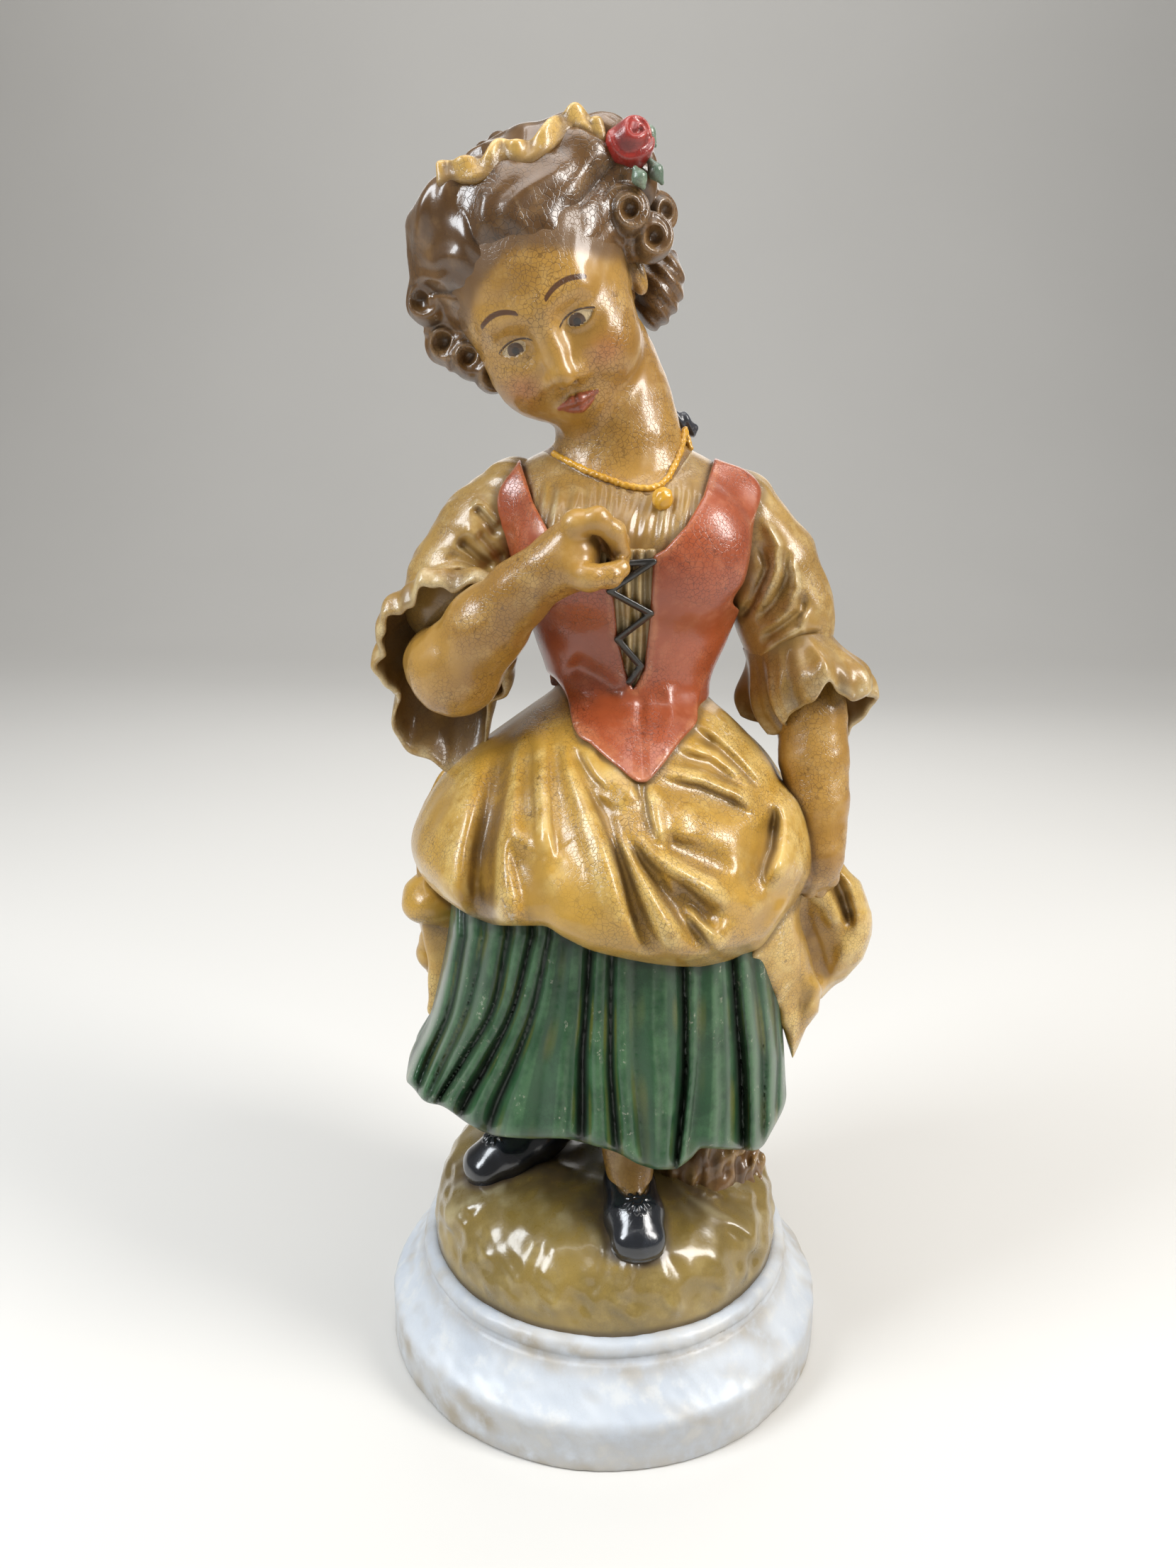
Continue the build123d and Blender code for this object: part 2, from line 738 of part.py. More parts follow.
def make_bow(blockers):
    spot = Pos(waist_x - 1, 19, shoulder_z + 4)
    bow = spot * Sphere(0.42 * bow_radius)
    for side in (-1, 1):
        loop = Rot(0, side * 78, 0) * spheroid(0.45 * bow_radius, bow_radius)
        bow += spot * Pos(side * bow_radius, 0, 1) * loop
        bow += spot * Pos(side * 0.5 * bow_radius, 1, -bow_radius) * Rot(0, side * -20, 0) * spheroid(
            0.32 * bow_radius, 0.9 * bow_radius)
    for blocker in blockers:
        bow -= blocker
    return bow


def arm_pin(side):
    point, outward = armhole(side)
    return Plane(origin=point, z_dir=outward) * Cylinder(arm_pin_radius, arm_pin_length)


def neck_pin():
    return Pos(waist_x - 3, 1, shoulder_z - 8) * Cylinder(neck_pin_radius, neck_pin_length)


plinth = make_plinth()
mound = make_mound()
rock = make_rock(mound)

left_foot = foot_place(left_toe, left_turn, mound_top - 8)
right_foot = foot_place(right_toe, right_turn, mound_top - 5)
left_leg = make_leg(left_foot, left_turn, (8, -16))
right_leg = make_leg(right_foot, right_turn, (-16, 2))
left_shoe = make_shoe(left_foot, mound, left_leg)
right_shoe = make_shoe(right_foot, mound, right_leg)
left_rosette = make_rosette(left_foot, [left_shoe, left_leg])
right_rosette = make_rosette(right_foot, [right_shoe, right_leg])

petticoat = make_petticoat()
pocket = oval_stack(petticoat_rows(fit_clearance))
overskirt_front = make_overskirt_front(pocket)
overskirt_back = make_overskirt_back(pocket)
envelope = skirt_envelope()
puff = make_puff(envelope + [pocket])

neck = make_neck()
bodice = make_bodice(neck)
stomacher = torso(-inset) & stomacher_prism()
chemise = (torso(-inset) & neckline_prism()) - neck
lace = make_lace() - stomacher - bodice

body = torso(0)
right_sleeve = make_sleeve(-1, right_elbow, body)
left_sleeve = make_sleeve(1, left_elbow, body)
right_forearm = make_right_forearm(body) - right_sleeve
left_forearm = make_left_forearm([left_sleeve] + envelope)
tail = make_tail(envelope + [pocket, left_forearm])
right_cuff = (right_elbow, right_spread, right_rim, right_flounce_radius)
left_cuff = (left_elbow, left_spread, left_rim, left_flounce_radius)
right_flounce = make_flounce(-1, *right_cuff, [right_forearm])
left_flounce = make_flounce(1, *left_cuff, [left_forearm])

head = make_head(neck)
hair = make_hair(head)
knot = make_knot(hair, head)
frill = make_frill([hair, knot, head])
rose = make_rose([hair, frill])
leaves = make_leaves([hair, knot, frill, rose])
necklace = make_necklace([chemise, bodice, head])
pendant = make_pendant([chemise, bodice, head, necklace])
bow = make_bow([head, hair, bodice, chemise, necklace])

right_pin = arm_pin(-1)
left_pin = arm_pin(1)
neck_dowel = neck_pin()

nodes = {
    "plinth": plinth,
    "ground_mound": mound,
    "rock_support": rock,
    "right_shoe": right_shoe,
    "left_shoe": left_shoe,
    "right_rosette": right_rosette,
    "left_rosette": left_rosette,
    "right_leg": right_leg,
    "left_leg": left_leg,
    "petticoat": petticoat,
    "overskirt_front": overskirt_front,
    "overskirt_back": overskirt_back,
    "right_hip_puff": puff,
    "left_drape": tail,
    "bodice": bodice - right_pin - left_pin - neck_dowel,
    "stomacher": stomacher,
    "bodice_lace": lace,
    "chemise": chemise - neck_dowel,
    "right_sleeve": right_sleeve - right_pin,
    "left_sleeve": left_sleeve - left_pin,
    "right_flounce": right_flounce,
    "left_flounce": left_flounce,
    "right_forearm": right_forearm,
    "left_forearm": left_forearm,
    "head": head - neck_dowel,
    "right_hair": split(hair, hair_parting(), keep=Keep.BOTTOM),
    "left_hair": split(hair, hair_parting(), keep=Keep.TOP),
    "hair_knot": knot,
    "hair_frill": frill,
    "rose": rose,
    "rose_leaves": leaves,
    "necklace": necklace,
    "pendant": pendant,
    "nape_bow": bow,
    "neck_dowel": neck_dowel,
    "right_arm_dowel": right_pin,
    "left_arm_dowel": left_pin,
}

os.makedirs("parts", exist_ok=True)
for name, solid in nodes.items():
    export_step(solid, f"parts/{name}.step")
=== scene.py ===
import math
from functools import cache, partial, reduce

import bpy
import numpy as np
from mathutils import Matrix, Vector


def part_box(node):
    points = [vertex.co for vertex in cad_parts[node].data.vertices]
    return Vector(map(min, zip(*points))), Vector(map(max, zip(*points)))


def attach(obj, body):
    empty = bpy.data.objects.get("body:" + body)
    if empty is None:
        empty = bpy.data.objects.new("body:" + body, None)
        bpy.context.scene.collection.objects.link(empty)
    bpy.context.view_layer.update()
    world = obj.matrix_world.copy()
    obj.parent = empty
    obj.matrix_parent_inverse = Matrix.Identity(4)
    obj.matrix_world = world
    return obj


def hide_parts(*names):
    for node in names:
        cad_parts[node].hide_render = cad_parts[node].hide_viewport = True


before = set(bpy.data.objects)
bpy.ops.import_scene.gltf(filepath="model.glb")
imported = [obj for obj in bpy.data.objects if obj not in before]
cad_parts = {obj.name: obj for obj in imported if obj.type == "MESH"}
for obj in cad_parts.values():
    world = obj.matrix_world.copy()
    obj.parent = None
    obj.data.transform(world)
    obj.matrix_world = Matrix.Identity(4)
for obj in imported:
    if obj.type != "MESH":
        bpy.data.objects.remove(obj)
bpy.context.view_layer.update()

# Forms are worked out in millimetres in the row frame and become metres when a mesh is made.
MM = 0.001
F32 = np.float32

# Camera of the photograph: eye point, downward pitch, roll and focal length in picture units.
EYE = np.array((-7.57, -356.33, 289.19))
PITCH = math.radians(14.547)
ROLL = math.radians(0.618)
FOCAL = 1600.0
PICTURE = (1659.0, 2212.0)
AHEAD = np.array((0.0, math.cos(PITCH), -math.sin(PITCH)))
ABOVE = np.array((0.0, math.sin(PITCH), math.cos(PITCH)))
ROLL_C, ROLL_S = math.cos(ROLL), math.sin(ROLL)
SENSOR = 36.0
# Planes between which a surface is looked for along a line of sight, and the steps taken
SIGHT_NEAR, SIGHT_FAR, SIGHT_STEPS = -110.0, 60.0, 700
# Picture units per millimetre at the depth of each zone
HEM_SCALE, APRON_SCALE, CHEST_SCALE, TAIL_SCALE = 5.2, 5.0, 4.8, 4.6

# Fields are worked out in blocks of cells, many at a time.
BLOCK, BATCH, CHUNK = 8, 160, 120000
# Value of a field far from its surface, and of a cut that takes nothing away
FAR, NO_CUT = F32(9), -9
# Sizes in mm at which hollows and ridges are felt, and how near another piece gathers dirt and painted contact
# shade
FINE, BROAD, NEAR_PIECE = 0.9, 3.2, 3.0


def front_view(p):
    """Where points appear in the front view, x to the right and y down."""
    d = p - EYE.astype(F32)
    depth = d @ AHEAD.astype(F32)
    x = FOCAL * d[:, 0] / depth
    y = -FOCAL * (d @ ABOVE.astype(F32)) / depth
    return PICTURE[0] / 2 + ROLL_C * x - ROLL_S * y, PICTURE[1] / 2 + ROLL_S * x + ROLL_C * y


def seen(x, y, back):
    """The point of the plane Y = back that appears at x, y of the front view."""
    x, y = x - PICTURE[0] / 2, y - PICTURE[1] / 2
    x, y = ROLL_C * x + ROLL_S * y, -ROLL_S * x + ROLL_C * y
    ray = AHEAD * FOCAL + np.array((x, 0.0, 0.0)) - ABOVE * y
    return EYE + ray * (back - EYE[1]) / ray[1]


def seen_on(f, x, y, lift=0.0):
    """The point of the surface f = 0 that appears at x, y of the front view, lifted towards the eye."""
    near, far = seen(x, y, SIGHT_NEAR), seen(x, y, SIGHT_FAR)
    line = near + np.linspace(0, 1, SIGHT_STEPS)[:, None] * (far - near)
    gap = f(line.astype(F32))
    inside = np.nonzero(gap < 0)[0]
    spot = line[inside[0] if len(inside) else np.argmin(gap)]
    return spot - lift * (far - near) / np.linalg.norm(far - near)


# Distance fields

def length(q):
    return np.sqrt(np.einsum("ij,ij->i", q, q))


def smin(a, b, k):
    h = np.maximum(k - np.abs(a - b), 0) / k
    return np.minimum(a, b) - h * h * k * 0.25


def smax(a, b, k):
    return -smin(-a, -b, k)


def ramp(x, low, high):
    t = np.clip((x - low) / (high - low), 0, 1)
    return t * t * (3 - 2 * t)


def ball(p, centre, radius):
    return length(p - np.asarray(centre, F32)) - radius


def egg(p, centre, radii, turn=None):
    q = p - np.asarray(centre, F32)
    if turn is not None:
        q = q @ np.asarray(turn, F32)
    radii = np.asarray(radii, F32)
    k0 = length(q / radii)
    k1 = length(q / (radii * radii))
    return k0 * (k0 - 1) / np.maximum(k1, 1e-6)


def limb(p, a, b, ra, rb):
    a, b = np.asarray(a, F32), np.asarray(b, F32)
    along = b - a
    t = np.clip((p - a) @ along / np.dot(along, along), 0, 1)
    return length(p - a - t[:, None] * along) - (ra + (rb - ra) * t)


def joined(fields, k):
    """Smooth union of fields."""
    return reduce(lambda a, b: smin(a, b, k), fields)


def chain(p, points, k=2.0):
    """Rounded limb through points (x, y, z, radius)."""
    return joined((limb(p, a[:3], b[:3], a[3], b[3]) for a, b in zip(points[:-1], points[1:])), k)


def sights(rows):
    """Front-view rows (x, y, back, radius) as chain points."""
    return [tuple(seen(x, y, back)) + (radius,) for x, y, back, radius in rows]


def ripple(p, size, seed):
    """Soft lumps of about that size, between -1 and 1."""
    rng = np.random.default_rng(seed)
    total = np.zeros(len(p), F32)
    for _ in range(5):
        wave = rng.normal(size=3)
        wave = (wave / np.linalg.norm(wave) * 2 * math.pi / size * rng.uniform(0.7, 1.4)).astype(F32)
        total += np.sin(p @ wave + F32(rng.uniform(0, 6.3)))
    return total / 3


def through(xs, ys):
    """Smooth curve through points, as a lookup."""
    xs, ys = np.asarray(xs, float), np.asarray(ys, float)
    slope = np.diff(ys) / np.diff(xs)
    inner = np.where(slope[:-1] * slope[1:] > 0, (slope[:-1] + slope[1:]) / 2, 0)
    m = np.concatenate(([slope[0]], inner, [slope[-1]]))
    grid = np.linspace(xs[0], xs[-1], 300)
    i = np.clip(np.searchsorted(xs, grid, side="right") - 1, 0, len(xs) - 2)
    h = xs[i + 1] - xs[i]
    t = (grid - xs[i]) / h
    value = ((1 + 2 * t) * (1 - t) ** 2 * ys[i] + t * (1 - t) ** 2 * h * m[i]
             + t * t * (3 - 2 * t) * ys[i + 1] + t * t * (t - 1) * h * m[i + 1])
    return lambda x: np.interp(x, grid, value).astype(F32)


class Stack:
    """Oval sections over height: rows (z, centre x, centre y, half width, half depth)."""

    def __init__(self, rows):
        z, x, y, a, b = zip(*sorted(rows))
        self.x, self.y, self.a, self.b = through(z, x), through(z, y), through(z, a), through(z, b)

    def __call__(self, p):
        z = p[:, 2]
        dx, dy = p[:, 0] - self.x(z), p[:, 1] - self.y(z)
        a, b = self.a(z), self.b(z)
        k0 = np.hypot(dx / a, dy / b)
        k1 = np.hypot(dx / (a * a), dy / (b * b))
        return 0.8 * k0 * (k0 - 1) / np.maximum(k1, 1e-6)

    def angle(self, p):
        z = p[:, 2]
        return np.arctan2(p[:, 0] - self.x(z), self.y(z) - p[:, 1])


def to_line(u, v, points):
    """Distance from a polyline of the front view, and how far along it, from 0 to 1."""
    best = np.full(len(u), 1e9, F32)
    along = np.zeros(len(u), F32)
    lengths = [math.dist(a, b) for a, b in zip(points[:-1], points[1:])]
    done, total = 0.0, sum(lengths)
    for (ax, ay), (bx, by), size in zip(points[:-1], points[1:], lengths):
        dx, dy = bx - ax, by - ay
        t = np.clip(((u - ax) * dx + (v - ay) * dy) / (size * size), 0, 1)
        d = np.hypot(u - ax - t * dx, v - ay - t * dy)
        nearer = d < best
        best = np.where(nearer, d, best)
        along = np.where(nearer, (done + t * size) / total, along)
        done += size
    return best, along


def near_line(u, v, points, reach):
    """Which points lie in the box around a line of the front view."""
    xs, ys = zip(*points)
    return np.nonzero((u > min(xs) - reach) & (u < max(xs) + reach)
                      & (v > min(ys) - reach) & (v < max(ys) + reach))[0]


def faded(t, share):
    """1 along a line, easing to 0 over a share of it at each end."""
    return ramp(t, 0, share) * (1 - ramp(t, 1 - share, 1))


def folds(u, v, table):
    """Sum of folds: rows (height in mm, half width in the view, points); valleys have a negative height."""
    out = np.zeros(len(u), F32)
    for height, width, points in table:
        near = near_line(u, v, points, 2.5 * width)
        if len(near) == 0:
            continue
        d, t = to_line(u[near], v[near], points)
        out[near] += height * np.exp(-(d / width) ** 2) * faded(t, 0.2)
    return out


def cloth(u, v, table, rest=34.0, reach=95.0):
    """Height of cloth over fold lines: rows (height in mm, softness in the view, points); 0 between them."""
    total = np.zeros(len(u), F32)
    weight = np.full(len(u), rest ** -3, F32)
    for height, soft, points in table:
        near = near_line(u, v, points, reach)
        if len(near) == 0:
            continue
        d, t = to_line(u[near], v[near], points)
        ends = faded(t, 0.3)
        pull = (d * d + soft * soft) ** -1.5 * np.maximum(1 - (d / reach) ** 2, 0) ** 2 * (0.1 + 0.9 * ends)
        total[near] += height * ends * pull
        weight[near] += pull
    return total / weight


def in_outline(u, v, points):
    """Signed distance to a closed outline of the front view, negative inside."""
    d, _ = to_line(u, v, list(points) + [points[0]])
    inside = np.zeros(len(u), bool)
    for (ax, ay), (bx, by) in zip(points, list(points[1:]) + [points[0]]):
        if ay == by:
            continue
        crosses = (ay > v) != (by > v)
        inside ^= crosses & (u < (bx - ax) * (v - ay) / (by - ay) + ax)
    return np.where(inside, -d, d)


# Meshing

def evaluate(f, p):
    return np.concatenate([f(p[i:i + CHUNK]) for i in range(0, len(p), CHUNK)]).astype(F32)


def slope_of(f, p, h):
    g = np.zeros_like(p)
    for corner in ((1, 1, 1), (1, -1, -1), (-1, 1, -1), (-1, -1, 1)):
        corner = np.asarray(corner, F32)
        g += evaluate(f, p + corner * F32(h))[:, None] * corner
    return g / F32(4 * h)


def sculpt(f, low, high, cell):
    """Quad mesh of the surface f = 0 inside a box: vertices and faces."""
    low, high = np.asarray(low, F32), np.asarray(high, F32)
    blocks = np.ceil((high - low) / (BLOCK * cell)).astype(int)
    axes = [low[i] + BLOCK * cell * (np.arange(blocks[i]) + 0.5) for i in range(3)]
    centres = np.stack(np.meshgrid(*axes, indexing="ij"), -1).reshape(-1, 3).astype(F32)
    d = evaluate(f, centres)
    # Half the diagonal of a block, with room for fields that are steeper than a distance
    near = (np.abs(d) < BLOCK * cell * 0.87 * 1.7).reshape(blocks)
    field = np.where(d < 0, -FAR, FAR).reshape(blocks)
    for axis in range(3):
        field = np.repeat(field, BLOCK, axis)
    field = np.pad(field, ((0, 1),) * 3, mode="edge")
    side = BLOCK + 1
    corner = np.stack(np.meshgrid(*[np.arange(side)] * 3, indexing="ij"), -1).reshape(-1, 3)
    index = np.argwhere(near)
    for start in range(0, len(index), BATCH):
        part = index[start:start + BATCH] * BLOCK
        grid = part[:, None, :] + corner[None]
        values = f((low + grid.reshape(-1, 3) * F32(cell)).astype(F32)).reshape(len(part), side, side, side)
        for (i, j, k), value in zip(part, values):
            field[i:i + side, j:j + side, k:k + side] = value
    inside = field < 0
    count = np.zeros([n - 1 for n in field.shape], np.uint8)
    corners = [(i, j, k) for i in (0, 1) for j in (0, 1) for k in (0, 1)]
    nx, ny, nz = count.shape
    for i, j, k in corners:
        count += inside[i:i + nx, j:j + ny, k:k + nz]
    active = (count > 0) & (count < len(corners))
    cells = np.argwhere(active)
    number = np.full(count.shape, -1, np.int32)
    number[active] = np.arange(len(cells))
    place, hits = np.zeros((len(cells), 3)), np.zeros(len(cells))
    for a in corners:
        for axis in range(3):
            if a[axis]:
                continue
            b = list(a)
            b[axis] = 1
            ca, cb = cells + a, cells + b
            va, vb = field[tuple(ca.T)], field[tuple(cb.T)]
            cross = (va < 0) != (vb < 0)
            t = np.where(cross, va / np.where(cross, va - vb, 1), 0)
            step = np.asarray(a, float)[None] + t[:, None] * (np.asarray(b, float) - a)
            place += np.where(cross[:, None], step, 0)
            hits += cross
    verts = (low + cell * (cells + place / np.maximum(hits, 1)[:, None])).astype(F32)
    quads = []
    for axis in range(3):
        u, w = (axis + 1) % 3, (axis + 2) % 3
        first = [slice(1, -1)] * 3
        second = [slice(1, -1)] * 3
        first[axis], second[axis] = slice(0, -1), slice(1, None)
        s0, s1 = inside[tuple(first)], inside[tuple(second)]
        flip = np.argwhere(s0 != s1)
        starts = s0[tuple(flip.T)]
        flip[:, u] += 1
        flip[:, w] += 1
        loop = []
        for du, dw in ((0, 0), (1, 0), (1, 1), (0, 1)):
            c = flip.copy()
            c[:, u] -= du
            c[:, w] -= dw
            loop.append(number[tuple(c.T)])
        loop = np.stack(loop, 1)
        loop[~starts] = loop[~starts][:, ::-1]
        quads.append(loop)
    quads = np.concatenate(quads)
    quads = quads[(quads >= 0).all(1)]
    for _ in range(2):
        g = slope_of(f, verts, 0.35 * cell)
        step = g * (evaluate(f, verts) / np.maximum((g * g).sum(1), 0.05))[:, None]
        size = length(step)
        verts = verts - step * np.minimum(1, 0.6 * cell / np.maximum(size, 1e-6))[:, None]
    return verts, quads


def relief(f, verts, normals, steep, size):
    """How hollow and how raised the surface is at a size in mm."""
    hollow = 1 - evaluate(f, verts + normals * F32(size)) / (size * steep)
    raised = 1 + evaluate(f, verts - normals * F32(size)) / (size * steep)
    return np.clip(hollow, 0, 1.5), np.clip(raised, 0, 1.5)


def mesh_object(name, verts, faces, values, material):
    mesh = bpy.data.meshes.new(name)
    mesh.vertices.add(len(verts))
    mesh.vertices.foreach_set("co", (verts * MM).astype(F32).ravel())
    mesh.loops.add(faces.size)
    mesh.loops.foreach_set("vertex_index", faces.astype(np.int32).ravel())
    mesh.polygons.add(len(faces))
    mesh.polygons.foreach_set("loop_start", np.arange(0, faces.size, faces.shape[1], dtype=np.int32))
    mesh.update(calc_edges=True)
    mesh.validate()
    mesh.polygons.foreach_set("use_smooth", np.ones(len(mesh.polygons), bool))
    for key, value in values.items():
        layer = mesh.attributes.new(key, "FLOAT", "POINT")
        layer.data.foreach_set("value", np.asarray(value, F32))
    mesh.materials.append(material)
    obj = bpy.data.objects.new(name, mesh)
    bpy.context.scene.collection.objects.link(obj)
    return obj


def declare(obj, node):
    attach(obj, "root")
    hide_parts(node)


def node_box(node, margin):
    low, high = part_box(node)
    return np.array(low) * 1000 - margin, np.array(high) * 1000 + margin


def model(node, f, slot, cell, margin=9.0, touch=(), paint=None):
    """Sculpts the piece that stands for a CAD node, with values on its vertices for dirt and painted shade, wear
    and painted highlight, and paint.
    """
    low, high = node_box(node, margin)
    verts, quads = sculpt(f, low, high, cell * (1))
    g = slope_of(f, verts, 0.3)
    steep = np.maximum(length(g), 0.2)
    normals = g / steep[:, None]
    fine, edge = relief(f, verts, normals, steep, FINE)
    broad, crown = relief(f, verts, normals, steep, BROAD)
    # Hollows and places near touching pieces are darkened as dirt and painted shade
    close = np.zeros(len(verts), F32)
    for other in touch:
        close = np.maximum(close, np.clip(1 - evaluate(other, verts) / NEAR_PIECE, 0, 1))
    values = {
        "cav": np.clip(0.6 * fine + 0.7 * broad + 0.8 * close, 0, 1),
        "rid": np.clip(0.5 * edge + 0.9 * crown, 0, 1),
    }
    if paint is not None:
        values.update(paint(verts))
        # Fold crests add a painted highlight to the ridge values
        values["rid"] = np.maximum(values["rid"], values.pop("crest", 0))
        # Some places are cleared of dirt and painted shade
        values["cav"] = values["cav"] * (1 - values.pop("clean", 0))
    obj = mesh_object(node + "_form", verts, quads, values, MATERIALS[slot])
    declare(obj, node)


# Materials

def linear(rgb):
    """Display colour from 0 to 255 as linear colour with full alpha."""
    return tuple(c / 3294.6 if c <= 10.31 else ((c / 255 + 0.055) / 1.055) ** 2.4 for c in rgb) + (1.0,)


class Graph:
    """Small helper for wiring a material."""

    def __init__(self, name):
        self.material = bpy.data.materials.new(name)
        self.material.use_nodes = True
        self.tree = self.material.node_tree
        self.tree.nodes.clear()

    def put(self, socket, value):
        if isinstance(value, bpy.types.NodeSocket):
            self.tree.links.new(value, socket)
        else:
            socket.default_value = value

    def node(self, kind, **settings):
        node = self.tree.nodes.new(kind)
        for key, value in settings.items():
            setattr(node, key, value)
        return node

    def math(self, operation, a, b, clamp=False):
        node = self.node("ShaderNodeMath", operation=operation, use_clamp=clamp)
        self.put(node.inputs[0], a)
        self.put(node.inputs[1], b)
        return node.outputs[0]

    def step(self, value, low, high):
        node = self.node("ShaderNodeMapRange", interpolation_type="SMOOTHSTEP")
        self.put(node.inputs["Value"], value)
        self.put(node.inputs["From Min"], low)
        self.put(node.inputs["From Max"], high)
        return node.outputs["Result"]

    def mix(self, factor, a, b):
        node = self.node("ShaderNodeMix", data_type="RGBA")
        self.put(node.inputs[0], factor)
        self.put(node.inputs[6], a)
        self.put(node.inputs[7], b)
        return node.outputs[2]

    def value(self, name):
        return self.node("ShaderNodeAttribute", attribute_type="GEOMETRY", attribute_name=name).outputs["Fac"]

    def noise(self, vector, scale, detail, rough=0.55):
        node = self.node("ShaderNodeTexNoise")
        self.put(node.inputs["Vector"], vector)
        self.put(node.inputs["Scale"], scale)
        self.put(node.inputs["Detail"], detail)
        self.put(node.inputs["Roughness"], rough)
        return node

    def cells(self, vector, scale):
        node = self.node("ShaderNodeTexVoronoi", feature="DISTANCE_TO_EDGE")
        self.put(node.inputs["Vector"], vector)
        self.put(node.inputs["Scale"], scale)
        return node.outputs["Distance"]


# Colour of dirt and painted shade in hollows, also used for the crackle lines
GRIME_AND_SHADE = (62, 46, 34)
PLASTER = (222, 212, 196)


def paint(name, base, shade, light, grime_and_shade=GRIME_AND_SHADE, dirt_and_shade=0.75, ridge=None, ridge_amount=0.5, tone=None,
          wear=0.35, crackle=0.45, crackle_size=1.3, rough=0.36, coat=0.55, marks=()):
    """Oil paint on plaster: uneven colour, dirt and painted shade in the hollows, rubbed ridges with painted
    highlights, chips and crackled varnish.
    """
    g = Graph(name)
    where = g.node("ShaderNodeTexCoord").outputs["Object"]
    wide = g.noise(where, 38.0, 3.0).outputs[0]
    middle = g.noise(where, 140.0, 4.0, 0.6).outputs[0]
    small = g.noise(where, 620.0, 3.0, 0.6).outputs[0]
    hollow, raised = g.value("cav"), g.value("rid")
    colour = g.mix(g.step(wide, 0.35, 0.68), linear(base), linear(shade))
    colour = g.mix(g.math("MULTIPLY", g.step(middle, 0.48, 0.72), 0.55), colour, linear(light))
    # The tone colour goes where a piece's tone value asks: random tone and stains, and on some pieces painted
    # shade in valleys, grooves and hollows
    if tone is not None:
        colour = g.mix(g.math("MULTIPLY", g.value("tone"), g.step(middle, 0.15, 0.6)), colour, linear(tone))
    # Ridges and fold crests are lightened towards the ridge colour, as rubbed paint and painted highlight
    if ridge is not None:
        rub_and_highlight = g.math("MULTIPLY", g.step(raised, 0.12, 0.55), g.step(middle, 0.3, 0.62))
        colour = g.mix(g.math("MULTIPLY", rub_and_highlight, ridge_amount), colour, linear(ridge))
    for key, low, high, mark in marks:
        colour = g.mix(g.step(g.value(key), low, high), colour, linear(mark))
    # Hollows and places near other pieces darken towards this colour: dirt and painted shade
    soil_and_shade = g.math("MULTIPLY", g.step(hollow, 0.06, 0.75), g.math("ADD", 0.55, g.math("MULTIPLY", middle, 0.7)))
    colour = g.mix(g.math("MULTIPLY", soil_and_shade, dirt_and_shade, clamp=True), colour, linear(grime_and_shade))
    bent = g.node("ShaderNodeVectorMath", operation="MULTIPLY_ADD")
    g.put(bent.inputs[0], g.noise(where, 420.0, 2.0).outputs["Color"])
    g.put(bent.inputs[1], (0.0011, 0.0011, 0.0011))
    g.put(bent.inputs[2], where)
    edges = g.cells(bent.outputs[0], 1000.0 / crackle_size)
    crack = g.math("SUBTRACT", 1.0, g.step(edges, 0.0, 0.085))
    crack = g.math("MULTIPLY", crack, g.step(g.noise(where, 60.0, 2.0).outputs[0], 0.3, 0.62))
    colour = g.mix(g.math("MULTIPLY", crack, crackle), colour, linear(grime_and_shade))
    chip = g.math("MULTIPLY", g.step(raised, 0.22, 0.6), g.step(small, 0.58, 0.66))
    chip = g.math("MULTIPLY", chip, g.step(g.noise(where, 85.0, 2.0).outputs[0], 0.52, 0.62))
    colour = g.mix(g.math("MULTIPLY", chip, wear), colour, linear(PLASTER))
    height = g.math("SUBTRACT", g.math("MULTIPLY", small, 0.25), g.math("MULTIPLY", crack, 0.5 * crackle))
    height = g.math("SUBTRACT", height, g.math("MULTIPLY", chip, 0.5 * wear))
    bump = g.node("ShaderNodeBump")
    g.put(bump.inputs["Strength"], 0.35)
    g.put(bump.inputs["Distance"], 0.0003)
    g.put(bump.inputs["Height"], height)
    shader = g.node("ShaderNodeBsdfPrincipled")
    g.put(shader.inputs["Base Color"], colour)
    dull = g.math("ADD", rough, g.math("MULTIPLY", g.math("SUBTRACT", middle, 0.5), 0.35))
    dull = g.math("ADD", dull, g.math("MULTIPLY", soil_and_shade, 0.25), clamp=True)
    g.put(shader.inputs["Roughness"], dull)
    g.put(shader.inputs["Coat Weight"], coat)
    g.put(shader.inputs["Coat Roughness"], 0.12)
    g.put(shader.inputs["Normal"], bump.outputs[0])
    g.put(shader.inputs["Coat Normal"], bump.outputs[0])
    out = g.node("ShaderNodeOutputMaterial")
    g.put(out.inputs["Surface"], shader.outputs[0])
    return g.material


FACE_MARKS = (
    ("haze", 0.0, 1.0, (98, 68, 38)),
    ("blush", 0.1, 1.0, (174, 96, 54)),
    ("lip", 0.35, 0.65, (150, 78, 54)),
    ("eye", 0.4, 0.6, (200, 178, 138)),
    ("iris", 0.58, 0.63, (78, 54, 32)),
    ("pupil", 0.5, 0.6, (28, 20, 14)),
    ("lash", 0.5, 0.75, (66, 44, 28)),
    ("brow", 0.68, 0.80, (84, 54, 32)),
)

